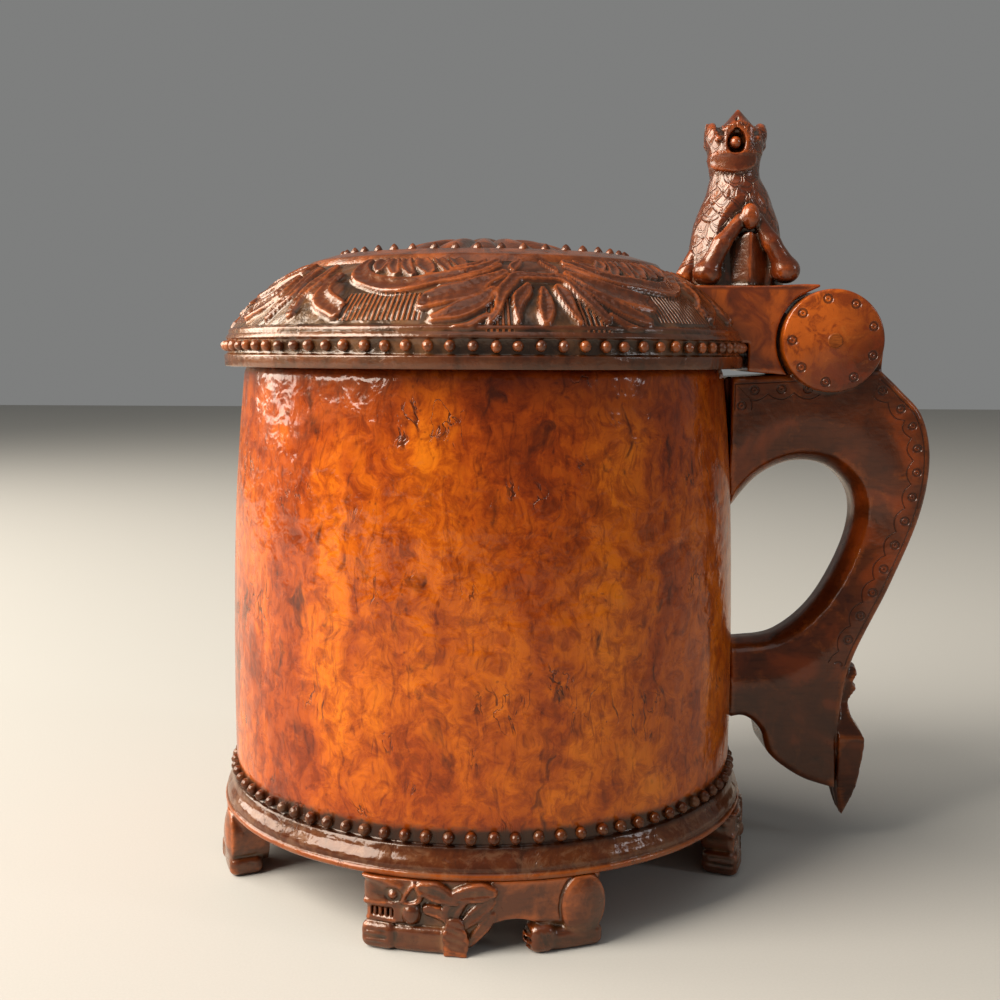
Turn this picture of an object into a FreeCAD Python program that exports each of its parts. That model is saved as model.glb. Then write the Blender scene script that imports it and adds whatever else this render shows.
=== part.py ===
"""Peg tankard of burr birch: turned vessel, domed carved lid, hinged arm, carved handle, lion feet.

Modelled in millimetres, Z up, floor at z = 0, vessel axis on the Z axis, handle towards +X. The saved
pieces are then moved along X together, so that the origin is under the middle of the whole tankard.
"""
import FreeCAD, Part
import math
import os

from FreeCAD import Matrix, Vector

# Heights above the floor
FOOT_HEIGHT = 21.0          # floor to the underside of the vessel
BASE_BEAD_ABOVE_FOOT = 11.0  # bead ring round the foot of the vessel, above its underside
RIM_Z = 161.2               # rim of the vessel, where the lid rests
LID_BEAD_ABOVE_RIM = 6.3
TOP_BEAD_ABOVE_RIM = 34.2   # ring of pointed beads on the dome

# Vessel
BODY_RADIUS = 82.2          # widest, low on the wall
RIM_RADIUS = 77.4
FLANGE_PROJECTION = 4.0     # of the flange at the foot, past the wall
WALL_FOOT = 8.0
WALL_RIM = 6.0
BOTTOM_THICKNESS = 12.0
UNDERCUT_FROM_WALL = 20.2   # shallow hollow under the bottom
UNDERCUT_DEPTH = 2.0
INNER_CORNER = 6.0
BASE_BEAD_COUNT = 82
BASE_BEAD_DIAMETER = 3.7
BEAD_BED_DEPTH = 0.3        # the beads stand in a shallow turned groove

# Lid
LID_OVERHANG = 6.2          # past the vessel's rim
LID_BAND_HEIGHT = 3.8       # plain band below the rim beads
LID_BEAD_COUNT = 86
LID_BEAD_DIAMETER = 3.3
DOME_MID_INSET = 12.7       # a point half way up the dome's carved ground, in from the lid's edge
DOME_MID_HEIGHT = 22.3
MOULDING_INSET = 26.1       # foot of the ring moulding, where the carving ends
MOULDING_HEIGHT = 30.4
TOP_RING_INSET = 37.6
TOP_BEAD_COUNT = 43
TOP_BEAD_DIAMETER = 3.4
TOP_BEAD_HEIGHT = 2.6
RELIEF_HEIGHT = 1.5
RELIEF_REPEATS = 3
CARVING_GAP = 0.15          # between the relief and the figure that leans over it
RELIEF_START = -77.5        # azimuth of the palmette that faces the front
LOCATING_DEPTH = 5.0        # ring under the lid that drops into the vessel
LOCATING_WIDTH = 5.5
LOCATING_CLEARANCE = 1.2
LID_HOLLOW_DEPTH = 14.0
ROSETTE_INSET = 53.6
ROSETTE_HEIGHT = 5.6
ROSETTE_PETALS = 14

# Hinge
HINGE_FROM_WALL = 28.1
HINGE_ABOVE_RIM = 8.9
CHEEK_RADIUS = 16.3
CHEEK_HALF_WIDTH = 18.0     # over the rims of the two discs
CHEEK_CONE = 2.0            # rise of the conical face
KNUCKLE_HALF_WIDTH = 9.0
KNUCKLE_GAP = 0.35          # each side of the knuckle
KNUCKLE_RADIUS = 15.4
SLOT_GAP = 0.8              # round the knuckle
ARM_GAP = 1.3               # between the discs and the arm's hollowed end
PIN_RADIUS = 2.5
PIN_FIT = 0.02
PIN_RUNNING = 0.06

# Arm on the lid
ARM_HALF_WIDTH = 15.5
ARM_UNDER_RIM = 1.1         # the arm reaches this far below the rim plane
ARM_TOP_ABOVE_HINGE = 17.2
PLINTH_THICKNESS = 1.4
ARM_SEAT_INSET = 21.6       # where the seat in the dome begins, in from the lid's edge
ARM_SEAT_DEPTH = 4.0
LID_PEG_RADIUS = 3.0
LID_PEG_INSET = 9.4
LID_PEG_Y = 9.0
LID_PEG_DEPTH = 9.0         # into the arm
PEG_FIT = 0.03

# Handle
HANDLE_HALF_TOP = 14.0
HANDLE_HALF_TAIL = 10.5
HANDLE_END_INSET = 2.7      # flat upper end, clear of the wall as it draws in
HANDLE_SEAT_GAP = 0.1
HANDLE_TOP_GAP = 1.6        # below the rim plane, under the arm
GRIP_ROUNDING = 7.0
EDGE_ROUNDING = 2.2
SPUR_HALF_WIDTH = 8.0
LEAF_HALF_WIDTH = 13.0
HANDLE_PEG_RADIUS = 4.0
HANDLE_PEG_RISES = (0.22, 0.307, 0.82, 0.913)
HANDLE_PEG_DEPTH = 12.0     # into the handle, past the wall

# Measuring pegs
PEG_COUNT = 8
PEG_RADIUS = 2.2
PEG_PROJECTION = 9.0
PEG_AZIMUTH = 24.0
PEG_LOWEST_ABOVE_FLOOR = 12.0
PEG_HIGHEST_BELOW_RIM = 20.0

# Lion feet
LION_DEPTH = 15.0
LION_INSET = 13.2           # inner face, in from the flange's edge
LION_BEND_INSET = 2.2       # where lengths along a lion are measured, in from the flange's edge
LION_NOSE = -34.0           # from the middle of the foot to the nose, along the bend
TENON_RADIUS = 4.0
TENON_LENGTH = 7.0
TENON_FROM_INNER_FACE = 5.0
FEET = {"foot_front": -90.0, "foot_right": 0.0, "foot_back": 90.0, "foot_left": 180.0}

# Thumb figure
FIGURE_INSET = 2.1          # middle of the figure, in from the lid's edge
FIGURE_HEIGHT = 56.4

BASE_Z = FOOT_HEIGHT
BASE_BEAD_Z = FOOT_HEIGHT + BASE_BEAD_ABOVE_FOOT
INSIDE_Z = FOOT_HEIGHT + BOTTOM_THICKNESS
LID_BEAD_Z = RIM_Z + LID_BEAD_ABOVE_RIM
TOP_RING_Z = RIM_Z + TOP_BEAD_ABOVE_RIM
HINGE_Z = RIM_Z + HINGE_ABOVE_RIM
PLINTH_Z = HINGE_Z + ARM_TOP_ABOVE_HINGE
FLANGE_RADIUS = BODY_RADIUS + FLANGE_PROJECTION
UNDERCUT_RADIUS = BODY_RADIUS - UNDERCUT_FROM_WALL
LID_RADIUS = RIM_RADIUS + LID_OVERHANG
DOME_MID_RADIUS = LID_RADIUS - DOME_MID_INSET
MOULDING_RADIUS = LID_RADIUS - MOULDING_INSET
TOP_RING_RADIUS = LID_RADIUS - TOP_RING_INSET
ROSETTE_RADIUS = LID_RADIUS - ROSETTE_INSET
ARM_SEAT_INNER = LID_RADIUS - ARM_SEAT_INSET
LID_PEG_X = LID_RADIUS - LID_PEG_INSET
FIGURE_X = LID_RADIUS - FIGURE_INSET
HINGE_X = BODY_RADIUS + HINGE_FROM_WALL
HANDLE_END_X = BODY_RADIUS - HANDLE_END_INSET
LION_RADIUS = FLANGE_RADIUS - LION_INSET
LION_BEND_RADIUS = FLANGE_RADIUS - LION_BEND_INSET
TENON_RADIAL = LION_RADIUS + TENON_FROM_INNER_FACE
AXIS_Z = Vector(0, 0, 1)
AXIS_Y = Vector(0, 1, 0)
OUTWARD = Vector(1, 0, 0)
ORIGIN = Vector(0, 0, 0)


def polar(radius, degrees, z=0.0):
    """Point at a radius and azimuth about the vessel axis."""
    angle = math.radians(degrees)
    return Vector(radius * math.cos(angle), radius * math.sin(angle), z)


def in_xz(points, y=0.0):
    return [Vector(x, y, z) for x, z in points]


def smooth(points):
    """Smooth edge through a few points."""
    curve = Part.BSplineCurve()
    curve.interpolate(points)
    return curve.toShape()


def closed_smooth(points):
    curve = Part.BSplineCurve()
    curve.interpolate(Points=points, PeriodicFlag=True)
    return Part.Face(Part.Wire([curve.toShape()]))


def straight(points):
    return [Part.makeLine(a, b) for a, b in zip(points, points[1:])]


def turned(edges):
    """Solid of revolution from a closed profile in the XZ plane."""
    face = Part.Face(Part.Wire(edges))
    return face.revolve(ORIGIN, AXIS_Z, 360)


def cylinder_y(radius, half_width, x, z):
    return Part.makeCylinder(radius, 2 * half_width, Vector(x, -half_width, z), AXIS_Y)


def slab_y(face, half_width):
    """Extrude a face drawn in the XZ plane to both sides."""
    moved = face.copy()
    moved.translate(Vector(0, -half_width, 0))
    return moved.extrude(Vector(0, 2 * half_width, 0))


def ellipsoid(centre, rx, ry, rz):
    matrix = Matrix()
    matrix.scale(rx, ry, rz)
    ball = Part.makeSphere(1.0).transformGeometry(matrix)
    ball.translate(centre)
    return ball


def limb(start, start_radius, end, end_radius):
    """Round tapered limb with rounded ends."""
    direction = end - start
    shaft = Part.makeCone(start_radius, end_radius, direction.Length, start, direction)
    ends = [Part.makeSphere(start_radius, start), Part.makeSphere(end_radius, end)]
    return shaft.fuse(ends)


def loft(sections):
    """Solid through ellipses: each section is centre, x radius, y radius."""
    wires = []
    for centre, rx, ry in sections:
        if rx >= ry:
            ellipse = Part.Ellipse(centre, rx, ry)
        else:
            ellipse = Part.Ellipse(centre + Vector(0, ry, 0), centre + Vector(-rx, 0, 0), centre)
        wires.append(Part.Wire([ellipse.toShape()]))
    return Part.makeLoft(wires, True, False)


def one_solid(shape):
    """Tidy a fused shape into its single solid."""
    shape = shape.removeSplitter()
    return max(shape.Solids, key=lambda solid: solid.Volume)


def save(shape, node):
    solids = shape.Solids
    result = solids[0] if len(solids) == 1 else Part.makeCompound(solids)
    result.exportStep(os.path.join("parts", node + ".step"))
    print(node, len(solids), "solids", round(result.Volume / 1000.0, 1), "cm3", result.isValid())


def wall_height(fraction):
    """Height on the wall, from the bead ring to the rim."""
    return BASE_BEAD_Z + 4.0 + (RIM_Z - BASE_BEAD_Z - 4.0) * fraction


def wall_points(inset_foot, inset_rim):
    """The wall's gentle barrel, set in by a thickness that changes from foot to rim."""
    full = BODY_RADIUS
    drawn_in = BODY_RADIUS - RIM_RADIUS
    shape = ((0.0, 0.0), (0.22, -0.02), (0.5, 0.11), (0.75, 0.42), (0.92, 0.78), (1.0, 1.0))
    points = []
    for fraction, share in shape:
        inset = inset_foot + (inset_rim - inset_foot) * fraction
        points.append(Vector(full - drawn_in * share - inset, 0, wall_height(fraction)))
    return points


def vessel_outline(offset=0.0):
    """Outer profile edges from the underside's edge up to the rim, grown by an offset."""
    bed = BODY_RADIUS + offset
    flange = FLANGE_RADIUS + offset
    foot = in_xz([
        (flange - 0.6, BASE_Z),
        (flange, BASE_Z + 0.8),
        (flange, BASE_Z + 3.6),
        (flange - 0.8, BASE_Z + 4.2),
    ])
    cove_end = Vector(bed + 0.8, 0, BASE_BEAD_Z - 2.6)
    cove_mid = (foot[-1] + cove_end) * 0.5 + Vector(-0.5, 0, -0.4)
    cove = Part.Arc(foot[-1], cove_mid, cove_end).toShape()
    wall = wall_points(-offset, -offset)
    bead_bed = straight([cove_end, Vector(bed - BEAD_BED_DEPTH, 0, BASE_BEAD_Z - 2.2),
                         Vector(bed - BEAD_BED_DEPTH, 0, BASE_BEAD_Z + 2.6), wall[0]])
    return straight(foot) + [cove] + bead_bed + [smooth(wall)]


def vessel_envelope(offset):
    """The vessel's outside as a solid, used to scribe what bears on the wall."""
    edges = vessel_outline(offset)
    first = edges[0].Vertexes[0].Point
    last = edges[-1].Vertexes[-1].Point
    axis_top = Vector(0, 0, last.z)
    axis_bottom = Vector(0, 0, first.z)
    return turned(edges + straight([last, axis_top, axis_bottom, first]))


def make_vessel():
    outline = vessel_outline()
    foot_edge = outline[0].Vertexes[0].Point
    rim_edge = outline[-1].Vertexes[-1].Point
    inner = wall_points(WALL_FOOT, WALL_RIM)
    inner_low = inner[0]
    corner_start = Vector(inner_low.x, 0, INSIDE_Z + INNER_CORNER)
    corner_end = Vector(inner_low.x - INNER_CORNER, 0, INSIDE_Z)
    drop = INNER_CORNER * (1 - math.sqrt(0.5))
    corner_mid = Vector(inner_low.x - drop, 0, INSIDE_Z + drop)
    inner[0] = corner_start
    inside = [smooth(list(reversed(inner))), Part.Arc(corner_start, corner_mid, corner_end).toShape()]
    rest = straight([
        corner_end,
        Vector(0, 0, INSIDE_Z),
        Vector(0, 0, BASE_Z + UNDERCUT_DEPTH),
        Vector(UNDERCUT_RADIUS - UNDERCUT_DEPTH, 0, BASE_Z + UNDERCUT_DEPTH),
        Vector(UNDERCUT_RADIUS, 0, BASE_Z),
        foot_edge,
    ])
    body = turned(outline + straight([rim_edge, inner[-1]]) + inside + rest)
    bead_radius = BASE_BEAD_DIAMETER / 2
    bead = Part.makeSphere(bead_radius, Vector(BODY_RADIUS + 0.2, 0, BASE_BEAD_Z), OUTWARD)
    body = body.fuse(around(bead, BASE_BEAD_COUNT))
    body = body.cut(peg_solids(PEG_RADIUS + PEG_FIT))
    body = body.cut(handle_peg_solids(HANDLE_PEG_RADIUS + PEG_FIT))
    sockets = [Part.makeCylinder(TENON_RADIUS + PEG_FIT, TENON_LENGTH + 0.5,
                                 polar(TENON_RADIAL, azimuth, BASE_Z))
               for azimuth in FEET.values()]
    return one_solid(body.cut(sockets))


def inner_radius(z):
    """Inside radius of the wall at a height."""
    inner = smooth(wall_points(WALL_FOOT, WALL_RIM))
    level = Part.makeLine(Vector(0, 0, z), Vector(2 * BODY_RADIUS, 0, z))
    return inner.distToShape(level)[1][0][0].x


def peg_solids(radius):
    """Row of measuring pegs, each driven from inside into a blind hole in the wall."""
    lowest = INSIDE_Z + PEG_LOWEST_ABOVE_FLOOR
    highest = RIM_Z - PEG_HIGHEST_BELOW_RIM
    pegs = []
    for i in range(PEG_COUNT):
        z = lowest + (highest - lowest) * i / (PEG_COUNT - 1)
        start = polar(inner_radius(z) - PEG_PROJECTION, PEG_AZIMUTH, z)
        length = PEG_PROJECTION + WALL_RIM * 0.6
        pegs.append(Part.makeCylinder(radius, length, start, polar(1.0, PEG_AZIMUTH)))
    return pegs


def make_measuring_pegs():
    rounded = []
    for peg in peg_solids(PEG_RADIUS):
        inner_edge = min(peg.Edges, key=lambda edge: edge.CenterOfMass.Length if edge.Closed else 1e9)
        rounded.append(peg.makeFillet(PEG_RADIUS * 0.4, [inner_edge]))
    return Part.makeCompound(rounded)


def handle_peg_solids(radius):
    """Dowels from inside the vessel, through its wall, into the handle."""
    pegs = []
    for rise in HANDLE_PEG_RISES:
        z = beside_wall(0.0, rise)[1]
        start = inner_radius(z) - 0.5
        end = HANDLE_END_X + HANDLE_PEG_DEPTH
        pegs.append(Part.makeCylinder(radius, end - start, Vector(start, 0, z), Vector(1, 0, 0)))
    return pegs


def dome_arc(offset=0.0):
    """Carved ground of the dome in section, an arc from the rim fillet to the ring moulding."""
    ends = in_xz([
        (LID_RADIUS - 1.3, RIM_Z + LID_BEAD_ABOVE_RIM + 3.7),
        (DOME_MID_RADIUS, RIM_Z + DOME_MID_HEIGHT),
        (MOULDING_RADIUS, RIM_Z + MOULDING_HEIGHT),
    ])
    centre = Part.Arc(*ends).toShape().Curve.Center
    moved = [point + (point - centre).normalize() * offset for point in ends]
    return Part.Arc(*moved).toShape()


def dome_core(offset):
    """Solid under the dome's carved ground, grown by an offset."""
    arc = dome_arc(offset)
    low = arc.Vertexes[0].Point
    high = arc.Vertexes[-1].Point
    foot = Vector(low.x, 0, RIM_Z)
    return turned([arc] + straight([high, Vector(0, 0, high.z), Vector(0, 0, RIM_Z), foot, low]))


def stroke_face(points, mirror):
    """Plan outline of a carved leaf or ribbon: each point is degrees from the palmette, inset, half width."""
    side = -1 if mirror else 1
    centres = [polar(LID_RADIUS - inset, side * degrees) for degrees, inset, _ in points]
    spine = Part.BSplineCurve()
    spine.interpolate(centres)
    left = []
    right = []
    for centre, (_, _, half_width) in zip(centres, points):
        tangent = spine.tangent(spine.parameter(centre))[0]
        across = Vector(-tangent.y, tangent.x, 0).normalize()
        left.append(centre + across * half_width)
        right.append(centre - across * half_width)
    tip = centres[-1] + (centres[-1] - centres[-2]).normalize() * points[-1][2]
    tail = centres[0] + (centres[0] - centres[1]).normalize() * points[0][2]
    return closed_smooth([tail] + left + [tip] + list(reversed(right)))


# Half of one repeat: degrees from the palmette's axis, distance in from the lid's edge, half width
CRESCENT = ((9.0, 23.1, 1.4), (17.0, 17.6, 2.4), (28.0, 13.6, 2.6), (39.0, 14.1, 3.0), (46.0, 20.1, 2.6),
            (46.5, 25.1, 1.0))
DOT_LEAF = ((9.0, 15.6, 1.4), (16.0, 10.6, 2.6), (24.0, 7.6, 2.2))
LOW_LEAF = ((10.0, 8.6, 1.2), (15.0, 5.6, 1.9), (21.5, 3.0, 0.9))
CURL = ((51.0, 17.1, 1.6), (50.5, 10.6, 2.8), (44.5, 6.0, 2.7))
END_LEAF = ((56.5, 21.6, 1.2), (57.3, 13.6, 2.3), (56.5, 5.1, 1.5))
ARCH = ((0.0, 16.4, 1.2), (5.5, 15.4, 1.6), (9.0, 9.6, 1.7), (11.5, 3.6, 1.1))
PALMETTE_LEAF = ((3.6, 12.1, 1.1), (5.6, 8.6, 1.9), (5.8, 4.0, 1.0))
TOP_LOBE = ((3.2, 23.6, 0.9), (4.4, 20.4, 1.6), (4.8, 18.4, 0.8))
HALF_MOTIFS = (CRESCENT, DOT_LEAF, LOW_LEAF, CURL, END_LEAF, ARCH, PALMETTE_LEAF, TOP_LOBE)
FEATHER_COUNT = 5
FEATHER_START = 19.0        # degrees of the first feather inside the crescent
FEATHER_STEP = 4.9
PALMETTE_BULB = ((0.0, 11.1, 1.4), (0.0, 7.6, 2.6), (0.0, 3.8, 1.5))


def feather(index):
    """One gouged oval of the row inside the crescent, leaning along it."""
    start = FEATHER_START + FEATHER_STEP * index
    foot = MOULDING_INSET - 0.1
    tip = 18.2 - 1.2 * math.sin(math.pi * index / (FEATHER_COUNT - 1))
    return ((start + 2.6, foot, 0.9), (start + 1.4, 0.5 * (foot + tip), 1.9), (start, tip, 1.1))


def relief_repeat():
    """One repeat of the relief: strokes joined in plan, raised, and trimmed to the relief's own dome."""
    motifs = list(HALF_MOTIFS) + [feather(i) for i in range(FEATHER_COUNT)]
    faces = [stroke_face(motif, mirror) for motif in motifs for mirror in (False, True)]
    plan = faces[0].fuse(faces[1:] + [stroke_face(PALMETTE_BULB, False)]).removeSplitter()
    plan.translate(Vector(0, 0, RIM_Z + LID_BEAD_ABOVE_RIM))
    raised = [face.extrude(Vector(0, 0, TOP_BEAD_ABOVE_RIM)) for face in plan.Faces]
    return dome_core(RELIEF_HEIGHT).common(raised)


def around(shape, count, start=0.0):
    """Copies of a shape, evenly spaced about the vessel axis."""
    copies = []
    for i in range(count):
        copy = shape.copy()
        copy.rotate(ORIGIN, AXIS_Z, start + 360.0 * i / count)
        copies.append(copy)
    return copies


def relief_solids():
    copies = around(relief_repeat(), RELIEF_REPEATS, RELIEF_START)
    return [solid for copy in copies for solid in copy.Solids]


def locating_radius():
    return RIM_RADIUS - WALL_RIM - LOCATING_CLEARANCE


def make_lid_blank():
    """Turned lid: band, bead bed, dome, ring moulding, plateau and the hollow underneath."""
    edge = LID_RADIUS
    band_top = RIM_Z + LID_BAND_HEIGHT
    low = [
        Vector(edge - 0.4, 0, RIM_Z),
        Vector(edge, 0, RIM_Z + 0.8),
        Vector(edge + 0.2, 0, band_top - 0.4),
        Vector(edge - 0.9, 0, band_top + 0.2),
        Vector(edge - 0.9, 0, LID_BEAD_Z + 2.0),
        Vector(edge - 0.3, 0, LID_BEAD_Z + 2.3),
        Vector(edge - 0.7, 0, LID_BEAD_Z + 3.2),
    ]
    ground = dome_arc()
    moulding = [
        Vector(MOULDING_RADIUS - 0.9, 0, RIM_Z + MOULDING_HEIGHT + 1.9),
        Vector(TOP_RING_RADIUS + 3.2, 0, TOP_RING_Z + 0.4),
        Vector(TOP_RING_RADIUS + TOP_BEAD_DIAMETER / 2 + 0.2, 0, TOP_RING_Z),
        Vector(TOP_RING_RADIUS - TOP_BEAD_DIAMETER / 2 - 0.3, 0, TOP_RING_Z),
        Vector(TOP_RING_RADIUS - TOP_BEAD_DIAMETER / 2 - 0.8, 0, TOP_RING_Z - 0.9),
        Vector(ROSETTE_RADIUS + 1.0, 0, TOP_RING_Z - 0.4),
        Vector(0, 0, TOP_RING_Z + 0.4),
    ]
    moulding_foot = ground.Vertexes[-1].Point
    outer = locating_radius()
    inner = outer - LOCATING_WIDTH
    hollow_top = Vector(0, 0, RIM_Z + LID_HOLLOW_DEPTH)
    hollow_mid = Vector(inner * 0.55, 0, RIM_Z + LID_HOLLOW_DEPTH * 0.72)
    hollow_edge = Vector(inner, 0, RIM_Z)
    under = straight([hollow_edge, Vector(inner, 0, RIM_Z - LOCATING_DEPTH),
                      Vector(outer - 0.6, 0, RIM_Z - LOCATING_DEPTH),
                      Vector(outer, 0, RIM_Z - LOCATING_DEPTH + 0.6), Vector(outer, 0, RIM_Z), low[0]])
    edges = straight(low + [ground.Vertexes[0].Point]) + [ground]
    edges += straight([moulding_foot] + moulding + [hollow_top])
    edges += [Part.Arc(hollow_top, hollow_mid, hollow_edge).toShape()] + under
    return turned(edges)


def lid_crown():
    """Room that the ring moulding needs, with a little air round it."""
    return Part.makeCylinder(MOULDING_RADIUS + CARVING_GAP, 20.0, Vector(0, 0, RIM_Z + MOULDING_HEIGHT - 5.0))


def make_rosette():
    """Gadrooned boss at the middle of the lid."""
    boss = ellipsoid(Vector(0, 0, TOP_RING_Z - 1.0), ROSETTE_RADIUS, ROSETTE_RADIUS, ROSETTE_HEIGHT)
    petal = ellipsoid(Vector(ROSETTE_RADIUS * 0.6, 0, TOP_RING_Z + 0.6), ROSETTE_RADIUS * 0.42, 3.6, 4.4)
    middle = ellipsoid(Vector(0, 0, TOP_RING_Z + 1.6), 7.0, 7.0, 5.2)
    pieces = around(petal, ROSETTE_PETALS) + [middle]
    above = Part.makeCylinder(ROSETTE_RADIUS + 2, 20, Vector(0, 0, TOP_RING_Z - 2))
    return boss.fuse(pieces).common(above)


def lid_beads():
    rim_bead = Part.makeSphere(LID_BEAD_DIAMETER / 2, Vector(LID_RADIUS - 0.4, 0, LID_BEAD_Z), OUTWARD)
    top_bead = Part.makeCone(TOP_BEAD_DIAMETER / 2, 0.6, TOP_BEAD_HEIGHT + 0.5,
                             Vector(TOP_RING_RADIUS, 0, TOP_RING_Z - 0.5))
    return around(rim_bead, LID_BEAD_COUNT) + around(top_bead, TOP_BEAD_COUNT)


def arm_face():
    """Side outline of the hinge arm, with the sloping seat under its lid end."""
    hollow = CHEEK_RADIUS + ARM_GAP
    bottom = RIM_Z - ARM_UNDER_RIM
    plinth_low = PLINTH_Z - PLINTH_THICKNESS
    seat_rise = (PLINTH_Z - RIM_Z) - 3.0
    inner_seat = Vector(ARM_SEAT_INNER, 0, RIM_Z + seat_rise - ARM_SEAT_DEPTH)
    outer_seat = Vector(LID_RADIUS - 7.0, 0, RIM_Z + 8.0)
    low_left = Vector(LID_RADIUS + 0.3, 0, bottom)
    shoulder = Vector(LID_RADIUS + 0.3, 0, RIM_Z + 8.0)
    reach = math.sqrt(hollow ** 2 - (HINGE_Z - bottom) ** 2)
    hollow_low = Vector(HINGE_X - reach, 0, bottom)
    hollow_mid = Vector(HINGE_X - hollow, 0, HINGE_Z)
    rise = plinth_low - HINGE_Z
    hollow_high = Vector(HINGE_X - math.sqrt(hollow ** 2 - rise ** 2), 0, plinth_low)
    plinth_end = HINGE_X - 4.0
    top = [
        hollow_high,
        Vector(plinth_end, 0, HINGE_Z + hollow - 0.6),
        Vector(plinth_end, 0, PLINTH_Z + 0.7),
        Vector(plinth_end - 5.0, 0, PLINTH_Z + 0.7),
        Vector(LID_RADIUS + 6.4, 0, PLINTH_Z),
        Vector(ARM_SEAT_INNER, 0, PLINTH_Z),
        inner_seat,
        outer_seat,
        shoulder,
        low_left,
        hollow_low,
    ]
    return Part.Face(Part.Wire([Part.Arc(hollow_low, hollow_mid, hollow_high).toShape()] + straight(top)))


def make_arm_blank():
    block = slab_y(arm_face(), ARM_HALF_WIDTH)
    tongue_root = in_xz([
        (LID_RADIUS + 6.0, HINGE_Z - 9.0),
        (HINGE_X, HINGE_Z - 9.0),
        (HINGE_X, HINGE_Z + 9.0),
        (LID_RADIUS + 6.0, HINGE_Z + 9.0),
        (LID_RADIUS + 6.0, HINGE_Z - 9.0),
    ])
    tongue = slab_y(Part.Face(Part.makePolygon(tongue_root)), KNUCKLE_HALF_WIDTH)
    knuckle = cylinder_y(KNUCKLE_RADIUS, KNUCKLE_HALF_WIDTH, HINGE_X, HINGE_Z)
    return block.fuse([tongue, knuckle])


def make_figure():
    """Seated beast with its head thrown back and a ball in its mouth."""
    x = FIGURE_X
    z = PLINTH_Z
    h = FIGURE_HEIGHT
    trunk = loft([
        (Vector(x, 0, z - 0.5), 17.5, 14.0),
        (Vector(x, 0, z + 0.14 * h), 16.4, 13.6),
        (Vector(x, 0, z + 0.36 * h), 14.6, 12.6),
        (Vector(x + 0.2, 0, z + 0.53 * h), 10.8, 10.4),
        (Vector(x - 0.8, 0, z + 0.66 * h), 8.4, 8.8),
        (Vector(x - 0.6, 0, z + 0.74 * h), 8.6, 9.2),
        (Vector(x - 0.5, 0, z + 0.84 * h), 9.6, 9.8),
        (Vector(x - 0.6, 0, z + 0.93 * h), 8.2, 7.4),
    ])
    mouth = Vector(x - 3.2, -9.4, z + 0.80 * h)
    muzzle = Part.makeCone(6.2, 0.7, 15.0, Vector(x - 1.5, -2.0, z + 0.745 * h), Vector(0.02, -0.28, 1.0))
    ears = [limb(Vector(x + side * 8.0, 1.5, z + 0.86 * h), 2.0, Vector(x + side * 8.8, 2.0, z + 0.93 * h), 0.7)
            for side in (-1, 1)]
    chin = ellipsoid(Vector(x - 4.0, -7.2, z + 0.715 * h), 5.4, 3.6, 2.6)
    knob = ellipsoid(Vector(x + 1.2, -12.2, z + 0.39 * h), 2.6, 3.0, 3.9)
    legs = []
    for side in (-1, 1):
        for front in (-1, 1):
            knee = Vector(x + side * 3.4, front * 11.6, z + 0.36 * h)
            elbow = Vector(x + side * 9.0, front * 12.4, z + 0.2 * h)
            paw = Vector(x + side * 12.6 + 1.6, front * 11.6, z + 0.105 * h)
            legs.append(limb(knee, 1.8, elbow, 2.4))
            legs.append(limb(elbow, 2.4, paw, 4.3))
    breast = ellipsoid(Vector(x + 2.8, -10.4, z + 0.16 * h), 5.4, 4.6, 0.17 * h)
    back = ellipsoid(Vector(x + 1.0, 10.4, z + 0.16 * h), 5.4, 4.2, 0.17 * h)
    tail = ellipsoid(Vector(x - 17.0, -2.0, z + 0.075 * h), 3.8, 5.0, 6.2)
    figure = trunk.fuse([muzzle, chin, knob, breast, back, tail] + ears + legs)
    figure = figure.cut(Part.makeSphere(3.7, mouth))
    figure = figure.fuse(Part.makeSphere(2.5, mouth + Vector(0, 1.6, 0)))
    below = Part.makeBox(80, 80, 20, Vector(x - 40, -40, z - 20))
    return figure.cut(below)


def lid_peg_solids(radius):
    """Dowels from the lid's underside up into the arm."""
    height = RIM_Z + 8.0 + LID_PEG_DEPTH
    return [Part.makeCylinder(radius, height - RIM_Z, Vector(LID_PEG_X, side * LID_PEG_Y, RIM_Z))
            for side in (-1, 1)]


def make_lid():
    blank = make_lid_blank()
    lid = blank.fuse(lid_beads() + relief_solids() + [make_rosette()])
    lid = lid.cut(slab_y(arm_face(), ARM_HALF_WIDTH))
    lid = lid.cut(lid_peg_solids(LID_PEG_RADIUS + PEG_FIT))
    return one_solid(lid)


def make_lid_arm():
    figure = make_figure().cut([dome_core(RELIEF_HEIGHT + CARVING_GAP), lid_crown()])
    arm = make_arm_blank().fuse(figure)
    arm = arm.cut(lid_peg_solids(LID_PEG_RADIUS + PEG_FIT))
    bore = cylinder_y(PIN_RADIUS + PIN_RUNNING, 2 * CHEEK_HALF_WIDTH, HINGE_X, HINGE_Z)
    return one_solid(arm.cut(bore))


def beside_wall(from_wall, rise):
    """Point of the handle: distance out from the wall's widest line, share of the way from foot to rim."""
    return BODY_RADIUS + from_wall, FOOT_HEIGHT + rise * (RIM_Z - FOOT_HEIGHT)


def handle_line(points):
    """Smooth edge of the handle through points given beside the wall."""
    return smooth(in_xz([beside_wall(*point) for point in points]))


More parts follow.
